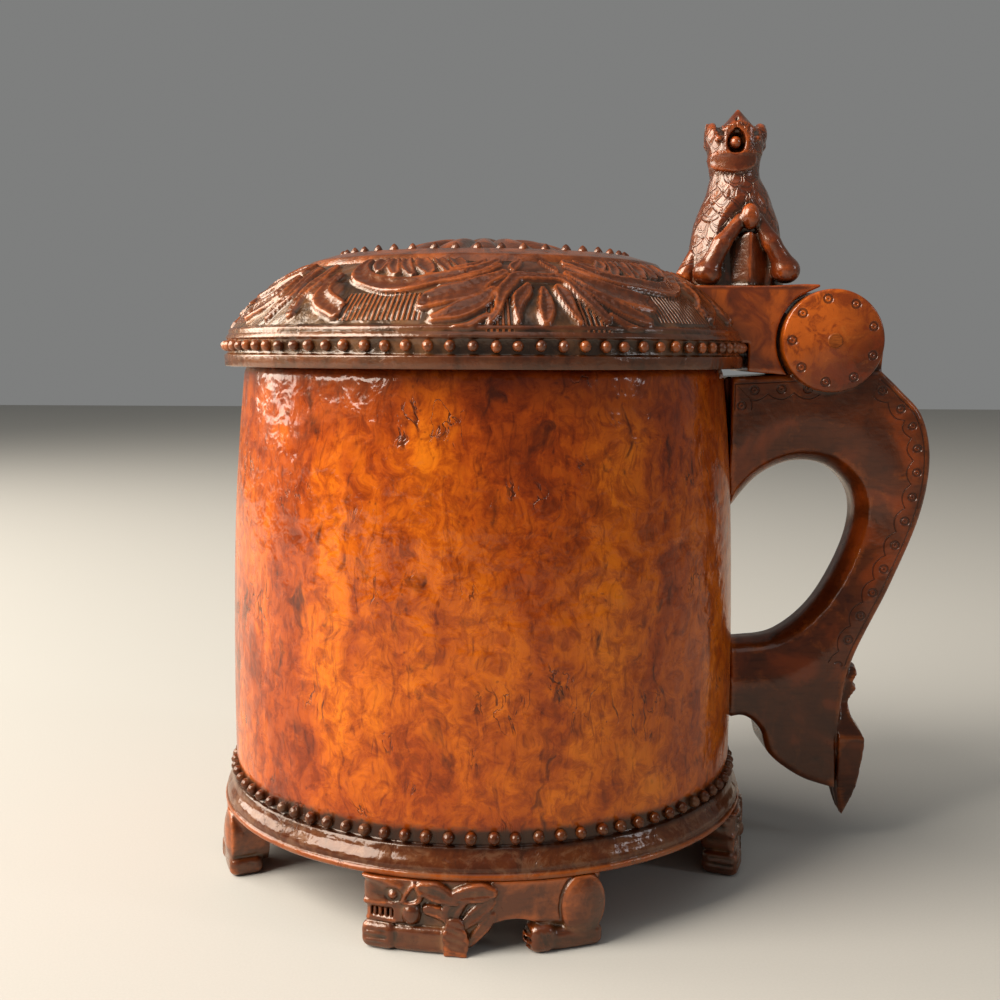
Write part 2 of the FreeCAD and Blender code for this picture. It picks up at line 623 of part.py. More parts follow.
def handle_outline():
    """Side outline of the handle without its discs: block, back, tail, foot and grip hollow."""
    top = RIM_Z - HANDLE_TOP_GAP - 1.2
    back = handle_line(((45.4, 0.996), (51.8, 0.953), (59.4, 0.892), (62.7, 0.792), (60.1, 0.663), (51.4, 0.496),
                        (39.6, 0.307), (36.4, 0.150), (35.8, 0.0)))
    under = handle_line(((35.8, 0.0), (23.8, 0.030), (13.4, 0.086), (10.2, 0.146), (4.3, 0.180), (-12.0, 0.168)))
    grip = handle_line(((-12.0, 0.361), (3.8, 0.359), (16.4, 0.377), (29.0, 0.457), (38.7, 0.598), (39.5, 0.702),
                        (31.6, 0.770), (20.0, 0.784), (8.4, 0.749), (-1.0, 0.670), (-12.0, 0.563)))
    grip_end = grip.Vertexes[-1].Point
    grip_start = grip.Vertexes[0].Point
    back_start = back.Vertexes[0].Point
    under_end = under.Vertexes[-1].Point
    block = straight([grip_end, Vector(grip_end.x, 0, top), Vector(HINGE_X - 12.3, 0, top + 1.0),
                      Vector(HINGE_X, 0, top + 1.0), back_start])
    return Part.Face(Part.Wire([back, under] + straight([under_end, grip_start]) + [grip] + block))


def long_edges(shape, low, high, shortest):
    """Edges off the middle plane whose centre lies between two points beside the wall."""
    x_low, z_low = beside_wall(*low)
    x_high, z_high = beside_wall(*high)
    found = []
    for edge in shape.Edges:
        centre = edge.CenterOfMass
        placed = x_low < centre.x < x_high and z_low < centre.z < z_high
        if placed and abs(centre.y) > 5.0 and edge.Length > shortest:
            found.append(edge)
    return found


def handle_width_wedge():
    """Seen from behind, the handle narrows evenly towards its tail."""
    high = HINGE_Z + CHEEK_RADIUS
    outline = [Vector(0, -HANDLE_HALF_TAIL, 0), Vector(0, HANDLE_HALF_TAIL, 0),
               Vector(0, HANDLE_HALF_TOP, high), Vector(0, -HANDLE_HALF_TOP, high),
               Vector(0, -HANDLE_HALF_TAIL, 0)]
    return Part.Face(Part.makePolygon(outline)).extrude(Vector(200, 0, 0))


def make_leaf():
    """Acanthus leaf down the handle's tail: a rolled top, a waist and a long pointed lobe."""
    face_line = handle_line(((35.8, 0.297), (41.4, 0.301), (42.8, 0.280), (41.8, 0.261), (42.9, 0.248), (41.4, 0.217),
                             (41.6, 0.177), (45.2, 0.127), (45.0, 0.064), (44.0, -0.021), (41.4, -0.088)))
    back_line = handle_line(((41.4, -0.088), (38.4, -0.053), (36.4, 0.007)))
    closing = straight([back_line.Vertexes[-1].Point, face_line.Vertexes[0].Point])
    side = Part.Face(Part.Wire([face_line, back_line] + closing))
    half = LEAF_HALF_WIDTH
    shape = ((0.62, 0.300), (0.8, 0.267), (0.52, 0.207), (0.98, 0.128), (0.78, 0.036), (0.3, -0.050), (0.08, -0.093))
    up = [Vector(0, share * half, beside_wall(0.0, rise)[1]) for share, rise in shape]
    down = [Vector(0, -point.y, point.z) for point in reversed(up)]
    front = Part.Face(Part.Wire([smooth(up)] + straight([up[-1], down[0]]) + [smooth(down)]
                                + straight([down[-1], up[0]])))
    return slab_y(side, 2 * half).common(front.extrude(Vector(2 * BODY_RADIUS + 40, 0, 0)))


def make_disc(side):
    """One hinge cheek: a thick disc with a shallow cone on its outer face."""
    inner = KNUCKLE_HALF_WIDTH + KNUCKLE_GAP
    disc = Part.makeCylinder(CHEEK_RADIUS, CHEEK_HALF_WIDTH - inner, Vector(HINGE_X, side * inner, HINGE_Z),
                             Vector(0, side, 0))
    cone = Part.makeCone(CHEEK_RADIUS, PIN_RADIUS, CHEEK_CONE, Vector(HINGE_X, side * CHEEK_HALF_WIDTH, HINGE_Z),
                         Vector(0, side, 0))
    return disc.fuse(cone)


def make_handle():
    blank = slab_y(handle_outline(), 2 * HANDLE_HALF_TOP).common(handle_width_wedge())
    blank = blank.makeFillet(GRIP_ROUNDING, long_edges(blank, (1.8, 0.39), (35.8, 0.75), 60.0))
    back_edges = long_edges(blank, (47.8, 0.3), (80.0, 1.0), 40.0)
    under_edges = long_edges(blank, (2.8, -0.1), (32.8, 0.2), 30.0)
    blank = blank.makeFillet(EDGE_ROUNDING, back_edges + under_edges)
    spur_line = ((13.7, -12.1), (18.1, -12.1), (18.1, -9.1), (18.9, -3.2), (17.0, -2.6), (14.9, -8.1), (13.7, -12.1))
    spur = slab_y(Part.Face(Part.makePolygon([Vector(HINGE_X + x, 0, HINGE_Z + z) for x, z in spur_line])),
                  SPUR_HALF_WIDTH)
    handle = blank.fuse([make_leaf(), spur])
    upper_end = Part.makeBox(40, 60, 80, Vector(HANDLE_END_X - 40, -30, beside_wall(0.0, 0.65)[1]))
    handle = handle.cut([vessel_envelope(HANDLE_SEAT_GAP), upper_end])
    room = cylinder_y(KNUCKLE_RADIUS + SLOT_GAP, KNUCKLE_HALF_WIDTH + KNUCKLE_GAP, HINGE_X, HINGE_Z)
    arm_room = cylinder_y(CHEEK_RADIUS + ARM_GAP, HANDLE_HALF_TOP + 1, HINGE_X, HINGE_Z)
    above = Part.makeBox(60, 60, 40, Vector(HINGE_X - 30, -30, RIM_Z))
    handle = handle.cut(arm_room.common(above))
    handle = handle.fuse([make_disc(-1), make_disc(1)]).cut(room)
    bore = cylinder_y(PIN_RADIUS + PIN_FIT, 2 * CHEEK_HALF_WIDTH, HINGE_X, HINGE_Z)
    return one_solid(handle.cut([bore] + handle_peg_solids(HANDLE_PEG_RADIUS + PEG_FIT)))


def make_hinge_pin():
    half = CHEEK_HALF_WIDTH + CHEEK_CONE
    pin = cylinder_y(PIN_RADIUS, half, HINGE_X, HINGE_Z)
    ends = [edge for edge in pin.Edges if edge.Closed]
    return pin.makeChamfer(0.4, ends)


def make_handle_pegs():
    inside = vessel_envelope(-WALL_FOOT - 0.3)
    return Part.makeCompound([peg.cut(inside) for peg in handle_peg_solids(HANDLE_PEG_RADIUS)])


def beside_foot(u, v, w):
    """Point on a lion: u along it from its nose, v out from its inner face, w up."""
    return polar(LION_RADIUS + v, math.degrees((LION_NOSE + u) / LION_BEND_RADIUS), w)


def bent_block(u, v, w, rounding=0.0):
    """Block bent round the vessel's foot, between two lengths, two depths and two heights."""
    corners = [(v[0], w[0]), (v[1], w[0]), (v[1], w[1]), (v[0], w[1]), (v[0], w[0])]
    section = Part.Face(Part.makePolygon([Vector(LION_RADIUS + x, 0, z) for x, z in corners]))
    block = section.revolve(ORIGIN, AXIS_Z, math.degrees((u[1] - u[0]) / LION_BEND_RADIUS))
    block.rotate(ORIGIN, AXIS_Z, math.degrees((LION_NOSE + u[0]) / LION_BEND_RADIUS))
    return block.makeFillet(rounding, block.Edges) if rounding else block


def bent_ball(u, v, w, along, out, up):
    ball = ellipsoid(ORIGIN, out, along, up)
    ball.rotate(ORIGIN, AXIS_Z, math.degrees((LION_NOSE + u) / LION_BEND_RADIUS))
    ball.translate(beside_foot(u, v, w))
    return ball


def make_lion():
    """Crouching lion with its head on its forepaw, bent to the vessel's foot; the nose is at u = 0."""
    height = FOOT_HEIGHT
    over = height + 1.5
    face = LION_DEPTH - 1.2
    forms = [
        bent_block((1.0, 17.0), (2.4, face), (7.4, over), 1.2),
        bent_block((0.0, 4.0), (3.6, face - 0.6), (12.4, over), 0.9),
        bent_block((14.0, 37.0), (1.8, face - 1.0), (5.0, over), 1.5),
        bent_block((35.0, 60.0), (2.4, face - 0.8), (8.8, over), 2.4),
        bent_block((53.2, 69.0), (2.2, face - 0.4), (4.6, over), 2.4),
        bent_block((0.0, 9.8), (3.0, LION_DEPTH), (-1.2, 7.4), 1.8),
        bent_block((8.4, 26.0), (3.0, LION_DEPTH - 0.8), (-1.2, 7.4), 1.5),
        bent_block((23.8, 30.4), (1.8, LION_DEPTH - 0.2), (-1.2, 11.0), 1.4),
        bent_block((47.0, 54.0), (3.6, LION_DEPTH - 0.4), (-1.2, 8.8), 1.8),
        bent_block((51.5, 68.6), (3.0, LION_DEPTH - 1.2), (-1.2, 6.6), 1.8),
        bent_ball(61.6, 7.6, 11.8, 7.4, 7.6, 9.6),
        bent_ball(14.6, 12.2, 11.6, 2.7, 2.9, 3.2),
        limb(beside_foot(13.4, 12.9, 15.2), 2.2, beside_foot(15.8, 12.9, 19.4), 0.8),
        bent_block((9.8, 10.9), (10.0, LION_DEPTH - 0.5), (17.0, 20.4), 0.3),
    ]
    locks = ((21.2, 15.6, 5.0, 3.9), (30.6, 16.6, 5.6, 3.6), (25.0, 11.0, 4.6, 3.4), (31.6, 10.4, 4.2, 4.6))
    for u, w, along, up in locks:
        forms.append(bent_ball(u, LION_DEPTH - 3.6, w, along, 3.2, up))
    lion = forms[0].fuse(forms[1:])
    cuts = [bent_block((2.8, 9.6), (8.5, LION_DEPTH + 2), (9.3, 12.2)),
            Part.makeSphere(1.0, beside_foot(14.3, LION_DEPTH - 0.2, 16.8))]
    for w in (1.9, 3.8, 5.7):
        cuts.append(bent_block((-1.0, 8.6), (LION_DEPTH - 0.5, LION_DEPTH + 1), (w - 0.3, w + 0.3)))
    for u in (48.9, 50.9):
        cuts.append(bent_block((u - 0.3, u + 0.3), (LION_DEPTH - 0.9, LION_DEPTH + 1), (-1.0, 7.0)))
    lion = lion.cut(cuts)
    teeth = [bent_block((u, u + 1.0), (8.0, 12.8), (9.0, 12.5)) for u in (3.4, 5.0, 6.6, 8.2)]
    eye = Part.makeSphere(1.4, beside_foot(9.0, face - 0.4, 15.6))
    tenon = Part.makeCylinder(TENON_RADIUS, TENON_LENGTH + 2, Vector(TENON_RADIAL, 0, height - 2))
    slab = Part.makeCylinder(FLANGE_RADIUS + 10, height)
    return one_solid(lion.fuse(teeth + [eye]).common(slab).fuse(tenon))


def make_feet():
    lion = make_lion()
    feet = {}
    for node, azimuth in FEET.items():
        feet[node] = lion.copy()
        feet[node].rotate(ORIGIN, AXIS_Z, azimuth)
    return feet


def middle_of_length(shapes):
    """X of the middle between the outermost points of all the pieces."""
    boxes = [shape.optimalBoundingBox() for shape in shapes]
    return (min(box.XMin for box in boxes) + max(box.XMax for box in boxes)) / 2


def build_all():
    os.makedirs("parts", exist_ok=True)
    pieces = {
        "vessel": make_vessel(),
        "lid": make_lid(),
        "lid_arm": make_lid_arm(),
        "handle": make_handle(),
        "hinge_pin": make_hinge_pin(),
        "measuring_pegs": make_measuring_pegs(),
        "handle_pegs": make_handle_pegs(),
        "lid_pegs": Part.makeCompound(lid_peg_solids(LID_PEG_RADIUS)),
    }
    pieces.update(make_feet())
    middle = middle_of_length([pieces["handle"], pieces["foot_left"], pieces["lid"]])
    for node, shape in pieces.items():
        shape.translate(Vector(-middle, 0, 0))
        save(shape, node)
    print("vessel axis at x =", round(-middle, 3), "hinge at", round(HINGE_X - middle, 3), round(HINGE_Z, 3))


build_all()
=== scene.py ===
"""Looks of a burr-birch peg tankard: turned vessel, carved lid, beast thumbpiece, handle and lion feet.

Shapes are worked out in millimetres, with the vessel's axis at x = 0 and the table at z = 0, and put in
the frame in metres when the mesh is made.
"""
import math

import bpy
import numpy as np
from mathutils import Matrix, Vector


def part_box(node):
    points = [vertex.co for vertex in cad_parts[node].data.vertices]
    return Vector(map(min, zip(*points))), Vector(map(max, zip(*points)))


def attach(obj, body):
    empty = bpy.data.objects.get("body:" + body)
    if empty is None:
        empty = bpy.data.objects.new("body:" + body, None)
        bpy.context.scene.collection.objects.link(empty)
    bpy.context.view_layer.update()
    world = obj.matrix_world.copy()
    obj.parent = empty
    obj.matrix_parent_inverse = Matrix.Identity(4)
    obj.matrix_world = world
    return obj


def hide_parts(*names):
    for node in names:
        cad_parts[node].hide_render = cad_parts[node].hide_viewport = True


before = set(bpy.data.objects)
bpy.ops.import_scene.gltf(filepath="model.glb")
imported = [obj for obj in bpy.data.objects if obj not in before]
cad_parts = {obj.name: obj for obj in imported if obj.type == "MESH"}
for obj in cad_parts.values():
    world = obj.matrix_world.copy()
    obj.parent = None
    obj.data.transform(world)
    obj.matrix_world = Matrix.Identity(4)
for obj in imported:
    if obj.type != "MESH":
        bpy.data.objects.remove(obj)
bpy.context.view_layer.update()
axis_x = (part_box("vessel")[0].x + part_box("vessel")[1].x) / 2

# Vessel: turned and hollowed from one block of burr birch, with its foot flange and a ring of carved
# beads in the same piece. French-polished over the years to a deep amber gloss.


def linear(colour):
    """sRGB hex to linear RGBA."""
    values = [int(colour[i:i + 2], 16) / 255 for i in (0, 2, 4)]
    return [v / 12.92 if v <= 0.04045 else ((v + 0.055) / 1.055) ** 2.4 for v in values] + [1.0]


class Value:
    """Shader socket that is reckoned with like a number: each step adds one maths node."""

    def __init__(self, socket):
        self.socket = socket

    def step(self, operation, second=0.0):
        return result(self, "Math", {"operation": operation}, {0: self, 1: second})

    def __add__(self, other):
        return self.step("ADD", other)

    def __sub__(self, other):
        return self.step("SUBTRACT", other)

    def __rsub__(self, number):
        return result(self, "Math", {"operation": "SUBTRACT"}, {0: number, 1: self})

    def __mul__(self, other):
        return self.step("MULTIPLY", other)

    def __truediv__(self, other):
        return self.step("DIVIDE", other)

    def __mod__(self, other):
        return self.step("MODULO", other)

    def __pow__(self, other):
        return self.step("POWER", other)

    def __abs__(self):
        return self.step("ABSOLUTE")


def connect(node, inputs):
    """Sets a node's inputs, each from a value to link, an sRGB colour or a constant."""
    for key, given in dict(inputs).items():
        if isinstance(given, Value):
            node.id_data.links.new(given.socket, node.inputs[key])
        else:
            node.inputs[key].default_value = linear(given) if isinstance(given, str) else given


def add(place, kind, settings=(), inputs=()):
    """Adds a shader node to a tree, or beside a value in its tree, with its settings and colour stops."""
    tree = place.socket.id_data if isinstance(place, Value) else place
    node = tree.nodes.new("ShaderNode" + kind)
    for name, given in dict(settings).items():
        if name == "stops":
            while len(node.color_ramp.elements) < len(given):
                node.color_ramp.elements.new(1.0)
            for element, (position, colour) in zip(node.color_ramp.elements, given):
                element.position = position
                element.color = linear(colour)
        else:
            setattr(node, name, given)
    connect(node, inputs)
    return node


def result(place, kind, settings=(), inputs=(), output=0):
    """Adds a shader node and gives one of its outputs."""
    return Value(add(place, kind, settings, inputs).outputs[output])


def attribute(place, name):
    return result(place, "Attribute", {"attribute_name": name}, (), "Fac")


def mix(factor, first, second, blend="MIX"):
    """Colour mix of two colours, each a value or sRGB hex."""
    place = first if isinstance(first, Value) else factor
    settings = {"data_type": "RGBA", "blend_type": blend}
    return result(place, "Mix", settings, {0: factor, 6: first, 7: second}, 2)


def ramp(value, *stops):
    return result(value, "ValToRGB", {"stops": stops}, {0: value})


def band(value, low, high):
    """Value brought to 0..1 between two limits, smoothly."""
    return result(value, "MapRange", {"interpolation_type": "SMOOTHSTEP"}, {0: value, 1: low, 2: high})


def spread(value, low, high, to_low, to_high):
    """Value brought from one range to another."""
    return result(value, "MapRange", {}, {0: value, 1: low, 2: high, 3: to_low, 4: to_high})


def noise(place, period, detail=3.0, distortion=0.0, roughness=0.55):
    """Noise whose features are about one period across, in millimetres."""
    return result(place, "TexNoise", {}, {"Vector": place, "Scale": 1.0 / period, "Detail": detail,
                                          "Distortion": distortion, "Roughness": roughness})


def stretched(place, *scale):
    """Place scaled along x, y and z: a pattern drawn on it grows long where the scale is small."""
    return result(place, "VectorMath", {"operation": "MULTIPLY"}, {0: place, 1: scale})


def coordinates(place, origin=None):
    """The three coordinates of a place, from an origin if one is given."""
    if origin:
        place = result(place, "VectorMath", {"operation": "SUBTRACT"}, {0: place, 1: origin})
    return [Value(part) for part in add(place, "SeparateXYZ", {}, {0: place}).outputs]


def start_material(name):
    """New material with its shader and the place in millimetres."""
    material = bpy.data.materials.new(name)
    material.use_nodes = True
    tree = material.node_tree
    tree.nodes.clear()
    shader = add(tree, "BsdfPrincipled")
    add(tree, "OutputMaterial", {}, {0: Value(shader.outputs[0])})
    metres = result(tree, "TexCoord", output="Object")
    place = result(tree, "VectorMath", {"operation": "SCALE"}, {0: metres, 3: 1000.0})
    return material, shader, place


def finish_shader(shader, colour, roughness, heights, coat=0.5, coat_roughness=0.12, sheen=0.2,
                  glint="FFC890"):
    """Sets colour, roughness, coat and a chain of bumps, each a height with its depth in millimetres."""
    connect(shader, {"Base Color": colour, "Roughness": roughness, "Specular IOR Level": sheen,
                     "Specular Tint": glint, "Coat Tint": "FFD9A6", "Coat Weight": coat,
                     "Coat Roughness": coat_roughness, "Coat IOR": 1.5})
    before = {}
    for height, depth in heights:
        inputs = {"Height": height, "Distance": depth / 1000.0, "Strength": 1.0}
        before = {"Normal": result(height, "Bump", {}, {**inputs, **before})}
    connect(shader, {"Normal": before["Normal"], "Coat Normal": before["Normal"]})


def put(name, data):
    """New object in the scene."""
    thing = bpy.data.objects.new(name, data)
    bpy.context.scene.collection.objects.link(thing)
    return thing


def make_piece(name, shells, body, material, values):
    """One mesh piece from shells of points and faces in millimetres, shown in place of its CAD node."""
    points = np.vstack([shell[0].reshape(-1, 3) for shell in shells]) / 1000.0 + np.array([axis_x, 0.0, 0.0])
    faces = []
    start = 0
    for shell_points, shell_faces in shells:
        faces.extend((np.asarray(shell_faces) + start).tolist())
        start += shell_points.size // 3
    mesh = bpy.data.meshes.new(name + "_carved")
    mesh.from_pydata(points.tolist(), [], faces)
    mesh.polygons.foreach_set("use_smooth", [True] * len(mesh.polygons))
    for key, numbers in values.items():
        numbers = np.concatenate([np.ravel(part) for part in numbers])
        mesh.attributes.new(key, "FLOAT", "POINT").data.foreach_set("value", numbers.astype(np.float32))
    mesh.update()
    mesh.materials.append(material)
    piece = put(name + "_carved", mesh)
    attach(piece, body)
    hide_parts(name)


def curve(points, per_span=12):
    """Smooth line through a few points."""
    given = np.array(points, float)
    given = np.vstack([2 * given[0] - given[1], given, 2 * given[-1] - given[-2]])
    t = (np.arange(per_span) / per_span)[:, None]
    spans = []
    for a, b, c, d in zip(given, given[1:], given[2:], given[3:]):
        spans.append(0.5 * (2 * b + (c - a) * t + (2 * a - 5 * b + 4 * c - d) * t ** 2
                            + (3 * b - a - 3 * c + d) * t ** 3))
    spans.append(given[-2][None])
    return np.vstack(spans)


def eased(points, ease, step):
    """Profile with its corners eased and its long runs divided."""
    given = np.array(points, float)
    out = [given[0]]
    for before, corner, after in zip(given, given[1:], given[2:]):
        for other in (before, after):
            reach = min(ease, 0.45 * np.linalg.norm(other - corner))
            out.append(corner + (other - corner) / np.linalg.norm(other - corner) * reach)
        out.insert(-1, 0.25 * out[-2] + 0.5 * corner + 0.25 * out[-1])
    out.append(given[-1])
    divided = [out[0]]
    for a, b in zip(out, out[1:]):
        count = max(1, int(np.linalg.norm(b - a) / step))
        divided.extend(a + (b - a) * (i + 1) / count for i in range(count))
    return np.array(divided)


def ring_faces(rows, count):
    """Quads between the rows of a shell whose rows close on themselves."""
    row = np.arange(rows - 1)[:, None] * count
    column = np.arange(count)[None, :]
    following = (column + 1) % count
    corners = [row + column, row + following, row + count + following, row + count + column]
    return np.stack(corners, -1).reshape(-1, 4)


def spun(profile, count):
    """Shell turned about the vessel's axis: points by profile row and azimuth, and faces."""
    azimuth = np.linspace(0, 2 * np.pi, count, endpoint=False)
    radius = profile[:, 0][:, None]
    points = np.stack([radius * np.cos(azimuth), radius * np.sin(azimuth),
                       np.repeat(profile[:, 1][:, None], count, 1)], -1)
    return points, ring_faces(len(profile), count)


def beads(count, radius, height, size, seed, pointed=0.0, upright=False):
    """Ring of hand-cut beads, no two quite alike; pointed, upright ones stand up from the surface."""
    chance = np.random.default_rng(seed)
    rings, turns = 6, 10
    polar = np.linspace(0.02, np.pi / 2 * 1.25, rings)[:, None]
    turn = np.linspace(0, 2 * np.pi, turns, endpoint=False)[None, :]
    out = np.cos(polar) * np.ones_like(turn)
    sharpen = 1 + pointed * np.clip(out, 0, 1) ** 3
    shape = np.stack([out * sharpen, np.sin(polar) * np.cos(turn), np.sin(polar) * np.sin(turn)], -1)
    shape = shape.reshape(-1, 3)
    face = ring_faces(rings, turns)[:, [0, 3, 2, 1]]
    points = []
    faces = []
    for i in range(count):
        angle = 2 * np.pi * (i + chance.normal(0, 0.03)) / count
        own = shape * size / 2 * np.array([1.0, chance.uniform(0.86, 1.0), chance.uniform(0.9, 1.06)])
        own = own + chance.normal(0, 0.03, own.shape)
        if upright:
            own = own[:, [1, 2, 0]]
        x = own[:, 0] + radius
        y = own[:, 1]
        points.append(np.stack([x * np.cos(angle) - y * np.sin(angle), x * np.sin(angle) + y * np.cos(angle),
                                own[:, 2] + height + chance.normal(0, 0.06)], -1))
        faces.append(face + i * len(shape))
    return np.vstack(points), np.vstack(faces)


rim_z = 161.2
wall_low_z = 36.0
wall_low_r = 82.2
wall_draws_in = 4.8
# The wall's barrel: height as a share of the wall, and how much of its drawing in is done there.
wall_share = np.polyfit([0.0, 0.22, 0.5, 0.75, 0.92, 1.0], [0.0, -0.02, 0.11, 0.42, 0.78, 1.0], 5)
wall_t = np.linspace(0, 1, 70)
wall_z = wall_low_z + (rim_z - wall_low_z) * wall_t
wall_r = wall_low_r - wall_draws_in * np.polyval(wall_share, wall_t)
wall = np.stack([wall_r, wall_z], -1)
outside = eased([(0.01, 23.0), (60.0, 23.0), (62.0, 21.0), (85.5, 21.0), (86.1, 21.9), (85.9, 22.8),
                 (85.1, 23.3), (85.5, 24.3), (85.0, 25.7), (83.7, 27.4), (83.0, 29.5), (81.8, 29.9),
                 (81.8, 34.5), (wall_r[0], wall_low_z)], 0.5, 1.6)
inside = np.stack([wall_r - 8.0 + 2.0 * wall_t, wall_z], -1)[wall_z > 45.0]
corner = [(64.1 + 10 * math.cos(a), 43.0 - 10 * math.sin(a)) for a in np.linspace(0.05, 1.5, 8)]
rim = [(wall_r[-1] - 0.5, rim_z - 0.1), (wall_r[-1] - 2.0, rim_z), (72.6, rim_z), (71.6, rim_z - 0.3)]
bottom = [(50.0, 33.0), (25.0, 33.0), (0.01, 33.0)]
profile = np.vstack([outside, wall[1:-1], rim, inside[::-1][1:], corner, bottom])
vessel_turns = 400
vessel_points, vessel_faces = spun(profile, vessel_turns)
azimuth = np.linspace(0, 2 * np.pi, vessel_turns, endpoint=False)[None, :]
height = profile[:, 1][:, None]
unevenness = (np.sin(3 * azimuth + height / 31) + np.sin(7 * azimuth - height / 19)
              + np.sin(13 * azimuth + height / 9) + 0.6 * np.sin(23 * azimuth + 1.7 * np.sin(height / 7)))
drawn_in = (0.09 + 0.025 * unevenness) / np.maximum(profile[:, 0][:, None], 5.0)
vessel_points[..., :2] *= (1 - drawn_in)[..., None]
ring = beads(82, wall_low_r, 32.0, 3.7, 4)

burr_birch, shader, place = start_material("burr birch, french polished")
warp = result(place, "TexNoise", {}, {"Vector": place, "Scale": 1 / 14.0, "Detail": 2.0}, 1)
curly = result(place, "VectorMath", {"operation": "MULTIPLY_ADD"}, {0: warp, 1: (9.0, 9.0, 9.0), 2: place})
tall = stretched(curly, 1.0, 1.0, 0.45)
cloud = noise(tall, 30.0, 6.0, 0.4, 0.62)
mottle = noise(curly, 5.6, 7.0, 0.5, 0.72)
colour = ramp(cloud, (0.28, "743007"), (0.42, "9C4A09"), (0.54, "BE690B"), (0.66, "D27F12"), (0.8, "DE9826"))
grain = ramp(mottle, (0.30, "7E4E30"), (0.44, "C8A384"), (0.56, "FFF3E2"), (0.75, "FFFFFF"))
colour = mix(0.8, colour, grain, "MULTIPLY")
fibre = noise(stretched(curly, 1.0, 1.0, 0.07), 1.5, 4.0)
colour = mix(band(fibre, 0.52, 0.75), colour, mix(0.6, colour, "7A3B12", "MULTIPLY"))
knots = noise(tall, 9.0, 4.0, 0.9)
colour = mix(band(knots, 0.61, 0.74) * 0.85, colour, "35120A")
curl = abs(noise(stretched(curly, 1.0, 1.0, 0.3), 8.0, 4.0, 1.2) - 0.5)
crack = (1 - band(curl, 0.004, 0.016)) * band(noise(place, 20.0, 2.0), 0.57, 0.66)
colour = mix(crack * 0.8, colour, "2A0E06")
pits = result(place, "TexVoronoi", {}, {"Vector": curly, "Scale": 1 / 2.6, "Randomness": 1.0})
pit = (1 - band(pits, 0.08, 0.24)) * band(noise(place, 9.0, 3.0), 0.5, 0.66)
colour = mix(pit * 0.55, colour, "4A1B0A")
level = coordinates(place)[2]
from_axis = result(place, "VectorMath", {"operation": "MULTIPLY_ADD"},
                   {0: place, 1: (1.0, 1.0, 0.0), 2: (-1000 * axis_x, 0.0, 0.0)})
reach = result(place, "VectorMath", {"operation": "LENGTH"}, {0: from_axis}, "Value")
within = band(reach, 76.4, 74.6) * band(level, 28.0, 31.0)
colour = mix(within * 0.8, colour, mix(1.0, colour, "8C5C3C", "MULTIPLY"))
# Painted shade: the wall darkened towards the rim, under the lid's overhang, with a ragged lower edge.
near_rim = band(level + cloud * 26.0, 150.0, 176.0)
colour = mix(near_rim * 0.5, colour, mix(0.85, colour, "8A4A28", "MULTIPLY"))
ragged = level + mottle * -5.0
flange = mix(band(level, 22.6, 23.2), mix(0.75, colour, "7A4218"), mix(0.88, colour, "301A10"))
flange = mix(band(mottle, 0.46, 0.6) * 0.4, flange, "6B574A")
colour = mix(1 - band(ragged, 30.6, 33.2), colour, flange)
# Painted shade in the channel behind and between the beads; the beads themselves are left out.
bead_channel_shade = band(level, 28.0, 29.8) * (1 - band(ragged, 30.4, 32.4))
colour = mix(bead_channel_shade * (1 - attribute(place, "raised")) * 0.85, colour, "1E0D08")
roughness = spread(noise(place, 8.0, 4.0), 0.3, 0.75, 0.24, 0.42)
bumps = [(noise(place, 16.0, 2.0), 0.9), (noise(place, 5.0, 2.0, 0.4), 0.32), (noise(tall, 0.9, 3.0), 0.035),
         (1 - crack, 0.12)]
finish_shader(shader, colour, roughness, bumps, 0.6, 0.09)

make_piece("vessel", [(vessel_points, vessel_faces), ring], "tankard", burr_birch,
           {"raised": [np.zeros(vessel_points.size // 3), np.ones(len(ring[0]))]})
# Lid: one turned piece with a carved leaf relief in three repeats on the dome, a row of beads at its
# edge, a ring of pointed beads and a petalled boss on top. Grime and painted shade in the hollows, rubbed to
# orange.

edge = 83.6
top_z = rim_z + 34.2
crescent = [(9.0, 60.5, 1.6), (17.0, 66.0, 2.4), (28.0, 70.0, 2.5), (39.0, 69.5, 2.9), (46.0, 63.5, 2.6),
            (46.5, 58.5, 1.2)]
ribbons = [
    crescent,
    [(7.5, 66.4, 1.4), (16.0, 72.0, 3.0), (24.2, 75.9, 2.5)],
    [(10.5, 72.6, 1.3), (15.5, 76.9, 2.2), (22.5, 80.2, 1.1)],
    [(8.0, 62.8, 1.0), (14.5, 66.6, 1.3), (22.0, 70.2, 0.8)],
    [(51.0, 66.5, 1.7), (50.5, 73.0, 2.8), (44.5, 77.6, 2.7)],
    [(56.5, 62.0, 1.3), (57.3, 70.0, 2.3), (56.5, 78.5, 1.6)],
    [(0.0, 67.2, 1.4), (5.5, 68.2, 1.7), (9.0, 74.0, 1.8), (11.5, 80.0, 1.2)],
    [(3.6, 71.3, 1.3), (5.4, 75.0, 2.2), (6.0, 80.2, 1.2)],
    [(12.6, 79.2, 0.8), (15.5, 81.0, 0.9), (19.0, 81.6, 0.6)],
    [(3.2, 60.0, 1.0), (4.4, 63.2, 1.6), (4.8, 65.2, 0.9)],
    [(0.0, 72.5, 1.5), (0.0, 76.0, 2.6), (0.0, 79.8, 1.6)],
    [(12.5, 59.6, 0.9), (15.5, 62.2, 1.5), (21.0, 64.8, 0.8)],
]
webs = [
    [(7.0, 64.5, 3.2), (15.0, 71.0, 6.4), (20.5, 76.0, 4.6)],
    [(0.0, 61.5, 3.2), (4.0, 63.0, 2.6)],
    [(47.5, 72.0, 3.4), (56.0, 70.0, 3.6)],
]
gouges = []
for i in range(6):
    lean = 17.5 + 4.3 * i
    reach = 64.6 + 1.6 * math.sin(math.pi * i / 5)
    gouges.append([(lean + 3.6, 57.9, 1.5), (lean + 2.0, 0.5 * (57.9 + reach), 2.1), (lean, reach, 1.5)])
dots = [(24.6, 76.1), (43.4, 77.7)]


def smoothstep(value):
    value = np.clip(value, 0, 1)
    return value * value * (3 - 2 * value)


